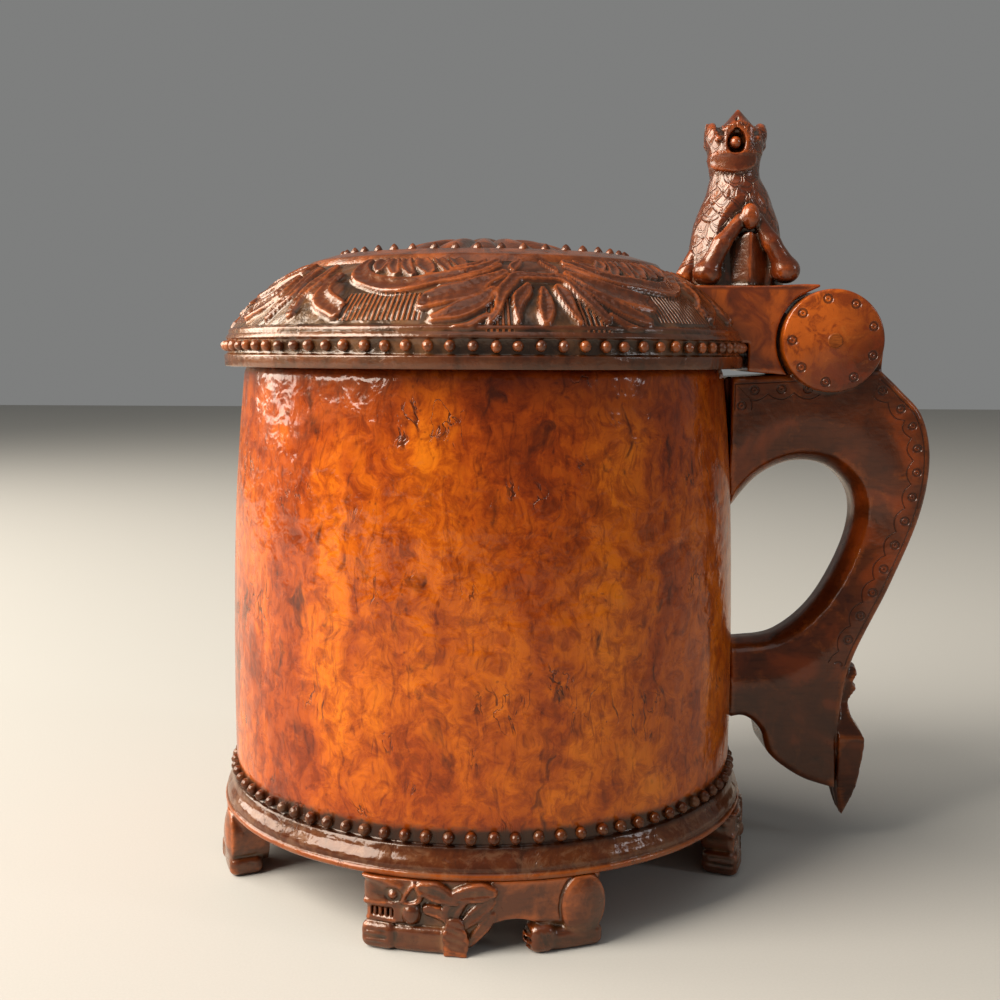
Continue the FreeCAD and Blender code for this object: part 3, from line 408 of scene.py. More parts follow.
def stroke(folded, radius, points):
    """How near a carved stroke each place is: 0 on its centre line, 1 on its edge, and how far along."""
    line = curve(points)
    centre = line[:, 1:2] * np.stack([np.cos(np.radians(line[:, 0])), np.sin(np.radians(line[:, 0]))], -1)
    here = radius[:, None] * np.stack([np.cos(folded), np.sin(folded)], -1)
    distance = np.linalg.norm(here[:, None, :] - centre[None], axis=2) / line[None, :, 2]
    nearest = distance.argmin(1)
    width = line[nearest, 2]
    return distance.min(1), nearest / (len(line) - 1), width


def relief(azimuth_degrees, radius):
    """Height of the carving above its ground, and how light it is coloured for places on the dome: rubbed on
    the raised parts, with grime and painted shade on the ground.
    """
    wobble = (0.5 * np.sin(azimuth_degrees * 0.21 + radius * 0.3)
              + 0.35 * np.sin(azimuth_degrees * 0.53 - radius * 0.5))
    turned_to = (azimuth_degrees + wobble + 77.5 + 60.0) % 120.0 - 60.0
    folded = np.radians(np.abs(turned_to))
    shifted = radius + 0.35 * np.sin(azimuth_degrees * 0.37)
    height = np.zeros(len(radius))
    worn = np.zeros(len(radius))
    for points in webs:
        d, along, width = stroke(folded, shifted, points)
        height = np.maximum(height, 0.62 * smoothstep((1 - d) * width / 1.2 + 0.4))
        worn = np.maximum(worn, 0.3 * smoothstep((1 - d) * width / 1.2 + 0.4))
    for points in ribbons:
        d, along, width = stroke(folded, shifted, points)
        inside_edge = (1 - d) * width
        own = 1.35 * smoothstep(inside_edge / 0.7 + 0.35) - 0.5 * smoothstep(inside_edge / 1.9 - 0.25)
        own -= 0.22 * smoothstep(1 - d * width / 0.4)
        own += 0.09 * np.sin(along * len(points) * 16.0 - d * 4.0) * smoothstep(inside_edge / 0.8 - 0.5)
        own *= d < 1.25
        height = np.maximum(height, own)
        rub = 0.88 - 0.34 * smoothstep(inside_edge / 1.1 - 0.3)
        worn = np.maximum(worn, smoothstep(inside_edge / 0.4 + 0.4) * rub)
    for points in gouges:
        d, _, width = stroke(folded, shifted, points)
        inside_edge = (1 - d) * width
        own = 1.4 * smoothstep(inside_edge / 0.4 + 0.5) - 0.75 * smoothstep(inside_edge / 1.5 - 0.3)
        height = np.maximum(height, own * (d < 1.2))
        rub = 0.88 - 0.38 * smoothstep(inside_edge / 1.3 - 0.2)
        worn = np.maximum(worn, smoothstep(inside_edge / 0.4) * rub)
    border = smoothstep((radius - 80.9) / 0.5)
    height = np.maximum(height, 0.6 * border)
    worn = np.maximum(worn, 0.4 * border)
    for degrees, out in dots:
        d = np.hypot(shifted * np.cos(folded) - out * math.cos(math.radians(degrees)),
                     shifted * np.sin(folded) - out * math.sin(math.radians(degrees)))
        height -= 0.45 * smoothstep(1 - np.abs(d - 1.05) / 0.45)
    return height, worn


chord = [np.array([edge - 1.3, rim_z + 10.0]), np.array([70.9, rim_z + 22.3]), np.array([57.5, rim_z + 30.4])]
system = np.array([2 * (chord[0] - chord[i]) for i in (1, 2)])
centre = np.linalg.solve(system, [chord[0] @ chord[0] - chord[i] @ chord[i] for i in (1, 2)])
arc_radius = np.linalg.norm(chord[0] - centre)
angles = [math.atan2(*(p - centre)[::-1]) for p in (chord[0], chord[2])]
across = np.linspace(angles[0], angles[1], 78)
dome = centre + arc_radius * np.stack([np.cos(across), np.sin(across)], -1)
dome_turns = 860
dome_points, dome_faces = spun(dome, dome_turns)
dome_azimuth = np.tile(np.degrees(np.linspace(0, 2 * np.pi, dome_turns, endpoint=False)), len(dome))
dome_r = np.repeat(dome[:, 0], dome_turns)
carving, worn = relief(dome_azimuth, dome_r)
margin = np.minimum(np.arange(len(dome)), np.arange(len(dome))[::-1])
fade = np.repeat(smoothstep(margin / 2.5), dome_turns)
carving *= fade
tool_marks = 0.07 * np.sin(dome_azimuth * 1.1 + dome_r * 1.3) * fade
lift_by = carving + tool_marks * (carving < 0.2)
outward = np.repeat((dome - centre) / arc_radius, dome_turns, 0)
turn = np.radians(dome_azimuth)
dome_points = dome_points.reshape(-1, 3) + lift_by[:, None] * np.stack(
    [outward[:, 0] * np.cos(turn), outward[:, 0] * np.sin(turn), outward[:, 1]], -1)

low_turns = 200
locating = wall_r[-1] - 7.2
hollow = [(r, math.sqrt(163.3 ** 2 - r ** 2) - 149.3 + rim_z) for r in np.linspace(0.01, locating - 5.5, 14)]
band_corners = [(0.1, 3.6), (-0.9, 4.0), (-0.9, 8.3), (-0.3, 8.5), (-0.7, 9.4), (-1.6, 10.4)]
low = eased([(locating - 5.5, rim_z - 5.0), (locating, rim_z - 5.0), (locating, rim_z),
             (edge - 0.1, rim_z + 0.02)]
            + [(edge + out, rim_z + up) for out, up in band_corners], 0.35, 1.4)
lower_points, lower_faces = spun(np.vstack([hollow, low]), low_turns)
crown = eased([(58.4, rim_z + 29.4), (57.4, rim_z + 31.0), (56.3, rim_z + 32.4), (49.2, top_z + 0.35),
               (47.7, top_z), (43.6, top_z), (43.3, top_z - 0.9), (34.0, top_z - 0.5)], 0.3, 1.2)
crown_points, crown_faces = spun(crown, low_turns)
boss_r = np.concatenate([np.linspace(34.0, 6.6, 40), np.linspace(6.2, 0.05, 10)])
boss_points, boss_faces = spun(np.stack([boss_r, np.full(50, top_z)], -1), low_turns)
boss_turn = np.linspace(0, 2 * np.pi, low_turns, endpoint=False)[None, :]
boss_r = boss_r[:, None]
petal = np.abs(np.sin(7 * boss_turn + 0.05 * np.sin(3 * boss_turn)))
swell = np.sqrt(np.clip(1 - ((boss_r - 17.5) / 13.2) ** 2, 0, 1))
button = np.sqrt(np.clip(1 - (boss_r / 6.6) ** 2, 0, 1))
mound = np.clip(1 - (boss_r / 31.0) ** 2, 0, 1) * 4.3
boss_points[..., 2] += -0.5 + mound + swell * (0.5 + 2.9 * petal ** 0.7) * (boss_r > 6.3) + 3.6 * button
edge_beads = beads(86, edge - 0.4, rim_z + 6.3, 3.3, 8)
point_beads = beads(43, 46.0, top_z, 3.3, 9, pointed=0.4, upright=True)


def carved_birch(name, dark, middle, bright, dusty):
    """Carved birch: grime and painted shade in the hollows, rubbed on the high parts, under an old uneven
    varnish.
    """
    material, shader, place = start_material(name)
    # The "worn" value is high on rubbed high parts and low in the hollows, which get grime and painted shade.
    rubbed = attribute(place, "worn")
    patch = noise(place, 11.0, 4.0, 0.8)
    speck = noise(place, 1.6, 4.0, 0.5)
    fibre = noise(stretched(place, 0.12, 1.0, 1.0), 1.3, 4.0)
    uneven = rubbed + (patch - 0.5) * 1.3 + (speck - 0.5) * 0.35
    colour = ramp(uneven, (0.0, dark), (0.35, middle), (0.6, middle), (1.0, bright))
    colour = mix(band(fibre, 0.45, 0.75), colour, mix(0.5, colour, "6B4030", "MULTIPLY"))
    dust = band(patch, 0.4, 0.65) * (1 - band(rubbed, 0.05, 0.5)) * dusty
    colour = mix(dust, colour, "7C6656")
    roughness = spread(noise(place, 3.0, 4.0), 0.3, 0.7, 0.27, 0.5)
    return material, shader, place, colour, roughness, speck, patch


carved, shader, place, colour, roughness, speck, patch = carved_birch(
    "carved birch, old dark varnish", "1C0E07", "4F2813", "92562C", 0.4)
east, north, _ = coordinates(place, (1000 * axis_x, 0.0, 0.0))
around = north.step("ARCTAN2", east)
hatched = band(attribute(place, "hatched"), 0.35, 0.65)
comb = band((around * 330.0).step("SINE"), -0.6, 0.5) * hatched
colour = mix((1 - comb) * hatched * 0.8, colour, "8A5128")
colour = mix(comb * 0.85, colour, "1A0A06")
finish_shader(shader, colour, roughness, [(patch, 0.5), (speck, 0.12), (1 - comb, 0.5)], 1.0, 0.17, 0.4,
              "FFE6D2")

folded = np.abs((dome_azimuth + 137.5) % 120.0 - 60.0)
open_ground = carving < 0.25
hatch = (smoothstep(folded - 24.5) * smoothstep(44.0 - folded) * smoothstep((dome_r - 72.5) / 0.8)
         * smoothstep((80.4 - dome_r) / 0.8) * open_ground)
fans = (smoothstep((13.0 - folded) / 1.5) * smoothstep(folded - 6.5) * smoothstep((dome_r - 73.5) / 0.8)
        * open_ground)
bead_bed = (np.abs(lower_points[..., 2] - rim_z - 6.1) < 2.1) & (np.hypot(*lower_points[..., :2].T).T > 80.0)
lid_shells = [(dome_points, dome_faces), (lower_points, lower_faces), (crown_points, crown_faces),
              (boss_points, boss_faces), edge_beads, point_beads]
# Lid's "worn" values: the carving's ground, the bed of the edge beads and the boss's valleys low, for grime
# and painted shade; the crown, the beads and the petals high, for rubbing.
lid_wear_and_shade = [worn * fade, np.where(bead_bed, 0.0, 0.35), np.full(crown_points.shape[:2], 0.75),
            0.2 + 0.7 * (swell * petal), np.full(len(edge_beads[0]), 0.8), np.full(len(point_beads[0]), 0.6)]
plain = np.zeros(sum(shell[0].size // 3 for shell in lid_shells[1:]))
make_piece("lid", lid_shells, "lid", carved,
           {"worn": lid_wear_and_shade, "hatched": [np.maximum(hatch, fans), plain]})

# Handle: one carved piece with the two hinge discs, the small stop behind them and the leaf at its
# tail. Darker birch, its grip rubbed smooth, with a line, scallops and ring punches along the back.


def grid(low, high, cell):
    """Places on a regular grid, with one spare cell all round."""
    axes = [np.arange(a - 2 * cell, b + 2.5 * cell, cell) for a, b in zip(low, high)]
    return np.stack(np.meshgrid(*axes, indexing="ij"), -1).astype(np.float32)


def skin(field, places):
    """Quads on the zero surface of a distance field, and how far each point stands out around it."""
    cell = places[1, 0, 0, 0] - places[0, 0, 0, 0]
    filled = (field < 0).astype(np.int8)
    count = sum(filled[i:i + filled.shape[0] - 1, j:j + filled.shape[1] - 1, k:k + filled.shape[2] - 1]
                for i in (0, 1) for j in (0, 1) for k in (0, 1))
    crossed = (count > 0) & (count < 8)
    index = np.full(crossed.shape, -1)
    index[crossed] = np.arange(crossed.sum())
    cells = np.argwhere(crossed)
    total = np.zeros(cells.shape)
    hits = np.zeros(len(cells))
    for axis in range(3):
        others = [(axis + 1) % 3, (axis + 2) % 3]
        for j in (0, 1):
            for k in (0, 1):
                start = np.zeros(3, int)
                start[others[0]] = j
                start[others[1]] = k
                end = start.copy()
                end[axis] = 1
                a = field[tuple((cells + start).T)]
                b = field[tuple((cells + end).T)]
                cut = (a < 0) != (b < 0)
                where = start + (end - start) * (a / np.where(cut, a - b, 1))[:, None]
                total[cut] += where[cut]
                hits[cut] += 1
    points = places[0, 0, 0] + cell * (cells + total / hits[:, None])
    faces = []
    for axis in range(3):
        order = (axis, (axis + 1) % 3, (axis + 2) % 3)
        own = filled.transpose(order)[:, 1:-1, 1:-1]
        near = index.transpose(order)
        quads = np.stack([near[:, :-1, :-1], near[:, 1:, :-1], near[:, 1:, 1:], near[:, :-1, 1:]], -1)
        leaving = (own[:-1] == 1) & (own[1:] == 0)
        entering = (own[:-1] == 0) & (own[1:] == 1)
        faces.append(quads[leaving])
        faces.append(quads[entering][:, ::-1])
    reach = max(1, int(round(1.6 / cell)))
    smoothed = field.astype(np.float64)
    for axis in range(3):
        padded = np.concatenate([np.repeat(smoothed.take([0], axis), reach + 1, axis), smoothed,
                                 np.repeat(smoothed.take([-1], axis), reach, axis)], axis)
        run = np.cumsum(padded, axis)
        size = smoothed.shape[axis]
        across = 2 * reach + 1
        smoothed = (run.take(range(across, size + across), axis) - run.take(range(0, size), axis)) / across
    standing = smoothed[tuple(cells.T)] - field[tuple(cells.T)]
    return points, np.vstack(faces), np.clip(0.45 + standing * 1.1, 0, 1)


def ball(p, centre, radii):
    q = p - np.array(centre, np.float32)
    scaled = np.linalg.norm(q / np.array(radii, np.float32), axis=-1)
    steep = np.linalg.norm(q / np.array(radii, np.float32) ** 2, axis=-1)
    return scaled * (scaled - 1) / np.maximum(steep, 1e-6)


def limb(p, a, b, first, last):
    """Round limb that tapers from one radius to another."""
    a = np.array(a, np.float32)
    run = np.array(b, np.float32) - a
    t = np.clip(((p - a) @ run) / (run @ run), 0, 1)
    return np.linalg.norm(p - a - t[..., None] * run, axis=-1) - (first + (last - first) * t)


def block(p, low, high, rounding):
    middle = (np.array(low, np.float32) + np.array(high, np.float32)) / 2
    half = (np.array(high, np.float32) - np.array(low, np.float32)) / 2 - rounding
    q = np.abs(p - middle) - half
    return np.linalg.norm(np.maximum(q, 0), axis=-1) + np.minimum(q.max(-1), 0) - rounding


def join(a, b, blend=0.0):
    """Union of two fields, run into each other over a short distance."""
    if blend == 0.0:
        return np.minimum(a, b)
    h = np.clip(0.5 + 0.5 * (b - a) / blend, 0, 1)
    return b + (a - b) * h - blend * h * (1 - h)


def cut(a, b, blend=0.0):
    return -join(-a, b, blend)


def outline_distance(x, z, outline):
    """Signed distance to a closed outline: negative inside, with the place along it in millimetres."""
    a = np.array(outline)
    b = np.roll(a, -1, 0)
    run = b - a
    length = np.maximum(np.linalg.norm(run, axis=1), 1e-9)
    start = np.concatenate([[0.0], np.cumsum(length)[:-1]])
    best = np.full(x.shape, 1e9)
    along = np.zeros(x.shape)
    inside = np.zeros(x.shape, bool)
    for (ax, az), (rx, rz), size, begin in zip(a, run, length, start):
        t = np.clip(((x - ax) * rx + (z - az) * rz) / size ** 2, 0, 1)
        d = np.hypot(x - ax - t * rx, z - az - t * rz)
        along = np.where(d < best, begin + t * size, along)
        best = np.minimum(d, best)
        if rz:
            inside ^= ((az > z) != (az + rz > z)) & (x < rx * (z - az) / rz + ax)
    return np.where(inside, -best, best), along


class Carving:
    """A piece being carved on a grid of places, as signed distances in millimetres: negative is wood."""

    def __init__(self, places, form, *sizes):
        self.places = places
        self.wood = self.shaped(form, sizes)

    def shaped(self, form, sizes):
        return form(self.places, *sizes) if callable(form) else form

    def join(self, blend, form, *sizes):
        self.wood = join(self.wood, self.shaped(form, sizes), blend)

    def cut(self, blend, form, *sizes):
        self.wood = cut(self.wood, self.shaped(form, sizes), blend)

    def trim(self, outside):
        """Takes away what lies where a field is positive."""
        self.wood = np.maximum(self.wood, outside)


def side_view(places, outline):
    """Signed distance to an outline drawn from the side, the same at every depth."""
    return outline_distance(places[:, :1, :, 0], places[:, :1, :, 2], outline)[0]


def board(reach, out, ease):
    """Signed distance to a board, from the ones to its outline and its faces, with its edges eased."""
    reach = reach + ease
    out = out + ease
    return np.hypot(np.maximum(reach, 0), np.maximum(out, 0)) + np.minimum(np.maximum(reach, out), 0) - ease


hinge_x, hinge_z = 110.3, rim_z + 8.9
back = curve([(127.6, 160.6), (134.0, 154.6), (141.6, 146.0), (144.7, 132.0), (142.3, 113.9), (133.6, 90.6),
              (121.8, 64.0), (118.6, 42.0), (118.0, 21.0)])
under = curve([(118.0, 21.0), (106.0, 25.2), (95.6, 33.0), (92.4, 41.4), (86.5, 46.2), (78.0, 44.6)])
grip = curve([(78.0, 71.6), (86.0, 71.3), (98.6, 73.8), (111.2, 85.1), (120.9, 104.8), (121.7, 119.4),
              (113.8, 128.9), (102.2, 130.9), (90.6, 126.0), (81.2, 115.0), (78.0, 108.0)])
outline = np.vstack([back, under[1:], grip, [(78.0, 158.4), (98.0, 159.4), (hinge_x, 159.4)]])
places = grid((78.0, -18.6, 7.8), (145.4, 18.6, hinge_z + 17.0), 0.62)
x, y, z = np.moveaxis(places, -1, 0)
from_grip = np.abs(side_view(places, np.vstack([grip, [(60.0, 108.0), (60.0, 71.6)]])))
half_width = 10.5 + 3.5 * np.clip(z / (hinge_z + 16.3), 0, 1)
rounding = 2.2 + 5.0 * smoothstep(1 - from_grip / 8.0)
grip_slope = 3.4 * smoothstep(1 - from_grip / 17.0) ** 1.4
handle = Carving(places, board(side_view(places, outline), np.abs(y) - half_width + grip_slope, rounding))
leaf_front = curve([(117.0, 62.6), (123.6, 63.2), (125.2, 60.2), (123.6, 57.4), (125.3, 55.2), (123.4, 51.4),
                    (123.8, 45.8), (127.6, 38.8), (127.2, 30.0), (126.2, 18.0), (123.6, 8.7)])
leaf_side = np.vstack([leaf_front, curve([(122.8, 8.9), (120.6, 13.6), (118.2, 24.0), (117.0, 40.0)])])
leaf_width = np.interp(z, [7.8, 14, 26, 39, 50, 58.5, 63], [0.6, 4.0, 10.1, 12.7, 6.8, 10.4, 8.1])
ribs = 0.5 * np.cos(y / np.maximum(leaf_width, 1) * 7.0) + 0.4 * (np.abs(y) / 13.0) ** 2
handle.join(0.6, np.maximum(side_view(places, leaf_side) + 0.35 + ribs * 0.7, np.abs(y) - leaf_width))
stop_side = [(124.4, 157.0), (129.6, 157.0), (128.9, 161.5), (129.5, 167.0), (127.2, 167.6), (125.2, 161.5)]
handle.join(0.6, np.maximum(side_view(places, stop_side), np.abs(y) - 8.0))
wall_at = np.interp(z, wall_z, wall_r) + 0.12
foot_at = np.interp(z, [21.0, 25.0, 27.2, 29.5, 34.8, 36.0], [86.2, 85.3, 83.8, 84.6, 84.6, 82.3])
handle.trim(np.where(z < wall_low_z, foot_at, wall_at) - np.hypot(x, y))
handle.trim(np.where((z > 112.0) & (np.abs(y) > 8.6), 79.5 - x, -np.inf))
from_hinge = np.hypot(x - hinge_x, z - hinge_z)
handle.trim(np.where(z > rim_z - 0.5, 17.6 - from_hinge, -np.inf))
disc_face = 18.0 + 1.85 * np.clip((16.3 - from_hinge) / 13.8, 0, 1)
handle.join(0.5, np.maximum(from_hinge - 15.9, np.abs(y) - disc_face + 0.2))
handle.trim(-np.maximum(from_hinge - 16.2, np.abs(y) - 9.35))
# The handle's "worn" value is how far each point stands out: rubbed where it stands out, grime and painted
# shade in the hollows.
handle_points, handle_faces, handle_wear_and_shade = skin(handle.wood, places)

disc_turns = 120
disc = eased([(0.01, 19.95), (15.9, 18.05), (16.28, 17.5), (16.28, 9.4), (2.6, 9.38)], 0.3, 1.2)
disc_points, disc_faces = spun(disc, disc_turns)
disc_points = disc_points[..., [0, 2, 1]] + np.array([hinge_x, 0.0, hinge_z])
discs = [(disc_points, disc_faces[:, ::-1]), (disc_points * np.array([1, -1, 1]), disc_faces)]
disc_worn = np.tile(0.45 + 0.5 * np.repeat(np.abs(disc[:, 0] - 16.0) < 0.5, disc_turns), 2)
x, y, z = handle_points.T
from_outline, along = outline_distance(x, z, outline)
back_length = np.linalg.norm(np.diff(back, axis=0), axis=1).sum()
on_top = (np.abs(from_outline) < 9.0) & (z > 148.0) & (x < 108.0)
on_side = smoothstep((np.abs(y) - 7.0) / 2.0) * ((along < back_length * 0.72) | on_top) * (z < 159.0)


def punched(across, along, spacing):
    """Ring punches in a row, each with a dot in its middle, and how far along each place is from its own."""
    step = (along + 200 * spacing) % spacing - spacing / 2
    out = (step * step + across * across).step("SQRT")
    rings = 1 - band(abs(out - 1.25), 0.15, 0.5)
    return rings.step("MAXIMUM", 1 - band(out, 0.15, 0.45)), step


dark_birch, shader, place, colour, roughness, speck, patch = carved_birch(
    "carved birch handle, dark glossy varnish", "180B05", "532810", "98541C", 0.05)
depth = attribute(place, "inward")
rings, step = punched(depth - 4.5, attribute(place, "along"), 8.7)
scallop = abs(depth + step * step * 0.1 - 7.8)
lines = 1 - band(scallop.step("MINIMUM", abs(depth - 2.3)), 0.08, 0.3)
tooled = rings.step("MAXIMUM", lines) * attribute(place, "on_side")
tint = noise(place, 19.0, 3.0, 0.9)
colour = mix(band(tint, 0.5, 0.68) * 0.6, colour, "8C4216")
colour = mix(band(tint, 0.5, 0.34) * 0.5, colour, "2E110A")
# Painted shade: the handle darkened towards its tail, from 78 mm down to 36 mm above the table.
colour = mix(band(coordinates(place)[2], 78.0, 36.0) * 0.5, colour, "160A05")
behind, aside, higher = coordinates(place, (hinge_x + 1000 * axis_x, 0.0, hinge_z))
from_pin = (behind * behind + higher * higher).step("SQRT")
ring_r = 13.2
disc_rings, _ = punched(from_pin - ring_r, higher.step("ARCTAN2", behind) * ring_r, 2 * math.pi * ring_r / 9)
on_disc = band(abs(aside), 17.2, 17.8) * (1 - band(from_pin, 16.0, 16.3))
# Painted light on the hinge discs: their faces lighter towards the top and the vessel, darker towards the
# bottom and the back, as if lit from the upper left.
disc_painted_light = higher - behind - (patch - 0.5) * 30.0
streak = noise(place, 6.0, 6.0, 0.7, 0.65)
orange = mix(band(disc_painted_light, -22.0, 20.0), "4E2210", "BA6420")
orange = mix(band(streak, 0.46, 0.6) * 0.8, orange, "6E2E12")
orange = mix(band(streak, 0.42, 0.3) * 0.3, orange, "C8803A")
colour = mix(on_disc * 0.85, colour, orange)
tooled = tooled.step("MAXIMUM", disc_rings * on_disc)
colour = mix(tooled * 0.7, colour, "1C0B06")
finish_shader(shader, colour, roughness, [(patch, 0.3), (speck, 0.05), (1 - tooled, 0.25)], 0.7, 0.1)
bare = np.zeros(len(disc_worn))
make_piece("handle", [(handle_points, handle_faces)] + discs, "tankard", dark_birch,
           {"worn": [handle_wear_and_shade, disc_worn], "inward": [-from_outline, bare], "along": [along, bare],
            "on_side": [on_side, bare]})

# Hinge arm and thumbpiece: a seated beast with its head thrown back and a ball in its mouth, carved in
# one piece with the arm that is let into the lid. Locks of fur are cut as overlapping pointed leaves.


def locks(across, upward, width, pitch):
    """Rows of pointed, overlapping locks: 0 to 1, stepping down at each tip; every other row is shifted."""
    best = np.zeros(np.broadcast(across, upward).shape)
    for shift in (0.0, 0.5):
        column = np.abs((across / width + shift) % 1.0 - 0.5) * 2
        row = (upward / (2 * pitch) + shift - 0.42 * column ** 1.6) % 1.0
        best = np.maximum(best, (1 - row) * smoothstep((1.02 - column) * 4))
    return best


def spine(up):
    """How far the beast's middle line leans towards the hinge, by its share of the height."""
    return np.interp(up, [0, 0.53, 0.66, 0.93], [0.0, 0.3, -0.9, -0.7])


cell = 0.5
plinth = hinge_z + 17.2
middle = edge - 2.1
tall = 56.4
places = grid((61.0, -18.0, rim_z - 1.2), (hinge_x + 15.6, 18.0, plinth + 56.6), cell)
x, y, z = np.moveaxis(places, -1, 0)
above = z - plinth
up = above / tall
trunk_x = spine(up) + middle
shares = [-0.1, 0, 0.14, 0.36, 0.53, 0.62, 0.70, 0.80, 0.86, 0.90, 0.93]
trunk_rx = np.interp(up, shares, [16.6, 16.4, 15.6, 13.8, 10.0, 8.2, 8.4, 9.4, 9.0, 7.2, 2.0])
trunk_ry = np.interp(up, shares, [13.2, 13.4, 13.2, 12.2, 10.0, 8.6, 8.8, 9.5, 9.0, 7.4, 2.0])
scaled = np.hypot((x - trunk_x) / trunk_rx, (y + 0.2) / trunk_ry)
trunk = np.maximum((scaled - 1) * np.minimum(trunk_rx, trunk_ry) * 0.92, (up - 0.93) * tall)
girth = 11.0
fur = locks(np.arctan2(y, x - trunk_x) * girth, above, 8.6, 5.0)
trunk = trunk - 0.25 * fur * (smoothstep((up - 0.08) / 0.06) * smoothstep((0.62 - up) / 0.08)) + 0.2
beast = Carving(places, trunk)


def point(dx, dy, dz):
    return (middle + dx, dy, plinth + dz)


snout = (np.hypot(x - middle + 0.9, (y + 4.6) * 0.8) - (56.3 - above) * 0.86) * 0.74
snout = np.maximum(snout, 42.0 - above)
snout = np.maximum(snout, np.hypot(x - middle + 0.9, y + 1.5) - 8.6)
beast.join(0.6, snout)
beast.trim(-(y + 10.6))
for cheek in (-8.2, 7.2):
    beast.join(0.8, ball, point(cheek, 0.5, 48.6), (2.4, 4.6, 4.0))
for side in (-1, 1):
    ear_root = point(side * 7.7 - 0.5, 1.4, 45.8)
    ear = Carving(places, limb, ear_root, point(side * 9.0 - 0.6, 0.6, 51.6), 2.5, 0.8)
    ear.cut(0.3, ball, point(side * 8.8 - 0.6, -1.4, 48.8), (1.0, 1.1, 2.4))
    beast.join(0.4, ear.wood)
    beast.cut(0.4, limb, point(side * 5.6 - 0.9, -8.0, 47.6), point(side * 5.4 - 0.9, 2.0, 53.2), 0.9, 1.1)
    beast.join(0.2, ball, point(side * 6.0 - 1.2, -7.4, 46.4), (1.4, 1.5, 1.1))
    beast.cut(0.2, limb, point(side * 7.9 - 1.2, -6.6, 47.6), point(side * 4.6 - 1.1, -8.6, 48.4), 0.45, 0.4)
mouth = point(-2.0, -9.8, 45.2)
beast.cut(0.4, ball, mouth, (2.9, 3.6, 3.9))
beast.cut(0.3, limb, mouth, point(-1.6, -7.6, 54.2), 1.6, 0.35)
across = x - middle + 2.6
from_chin = (np.abs(across) / 7.4) ** 2.5 + (np.abs(above - 38.9 - 0.02 * across ** 2) / 2.8) ** 2.5
chin = np.maximum(np.maximum(trunk - 0.8, (from_chin ** 0.4 - 1) * 3.0), y + 1.0)
beast.join(0.9, chin)
beast.join(0.1, ball, point(-2.2, -8.6, 45.1), (1.8, 2.0, 2.0))
hollow = ball(places, point(2.6, -14.2, 8.4), (10.2, 5.2, 15.0))
beast.cut(0.8, hollow)
from_ridge = np.abs(x - (middle + 2.4))
oblong = np.maximum(np.maximum((0.62 * from_ridge - 13.9 - y) * 0.85, from_ridge - 6.8),
                    (above - 16.8 + 0.1 * from_ridge ** 2) * 0.75)
beast.join(0.3, oblong)
knob = ball(places, point(2.2, -13.1, 21.6), (3.0, 3.2, 4.2))
beast.join(0.2, knob)
for knee_x, knee_z, elbow_x, elbow_z, paw_x, paw_z in ((-0.6, 20.6, -6.6, 13.0, -10.8, 4.6),
                                                        (5.0, 20.6, 9.2, 13.6, 14.2, 5.6)):
    leg = Carving(places, limb, point(knee_x, -11.8, knee_z), point(elbow_x, -12.8, elbow_z), 2.1, 2.7)
    leg.join(1.6, limb, point(elbow_x, -12.8, elbow_z), point(paw_x, -12.2, paw_z), 2.7, 3.6)
    leg.join(1.0, ball, point(paw_x, -11.8, paw_z - 0.6), (4.6, 4.8, 4.2))
    beast.join(0.3, leg.wood)
    far_leg = Carving(places, limb, point(elbow_x, 12.6, elbow_z), point(paw_x, 12.2, paw_z), 2.4, 3.4)
    far_leg.join(0.8, ball, point(paw_x, 12.2, paw_z - 0.4), (4.2, 4.4, 4.0))
    beast.join(0.4, far_leg.wood)
beast.join(0.4, ball, point(2.0, 10.6, 9.0), (5.6, 4.4, 9.4))
lobe = Carving(places, limb, point(-13.6, -3.0, 10.4), point(-17.2, -3.4, 1.6), 2.2, 3.4)
lobe.cut(0.3, limb, point(-15.2, -6.6, 9.8), point(-18.6, -7.0, 2.2), 0.6, 0.9)
beast.join(0.5, lobe.wood)
beast.trim(plinth - 0.6 - z)
beast.trim(arc_radius + 1.75 - np.hypot(np.hypot(x, y) - centre[0], z - centre[1]))
beast.trim(np.maximum(57.9 - np.hypot(x, y), -1.0))

low_x = edge + 0.3
end_x = hinge_x - 4.0
clear_r = 17.6
round_discs = [(hinge_x - clear_r * math.cos(a), hinge_z + clear_r * math.sin(a))
               for a in np.linspace(-0.67, 0.9, 20)]
arm_outline = round_discs + [
    (end_x, hinge_z + 17.0), (end_x, plinth + 0.5), (end_x - 5.0, plinth + 0.6), (low_x + 6.0, plinth),
    (62.0, plinth), (62.0, rim_z + 19.1), (edge - 7.0, rim_z + 8.0), (low_x, rim_z + 8.0),
    (low_x, rim_z - 1.0)]
arm = board(side_view(places, arm_outline), np.abs(y) - 15.4, 0.5)
from_hinge = np.hypot(x - hinge_x, z - hinge_z)
knuckle = np.maximum(from_hinge - 15.4, np.abs(y) - 9.0)
tongue = np.maximum(np.abs(z - hinge_z) - 9.0, np.abs(y) - 9.0)
tongue = np.maximum(tongue, np.maximum(edge + 6.0 - x, x - hinge_x))
arm = join(arm, join(knuckle, tongue), 0.2)
arm = np.maximum(arm, 2.56 - from_hinge)
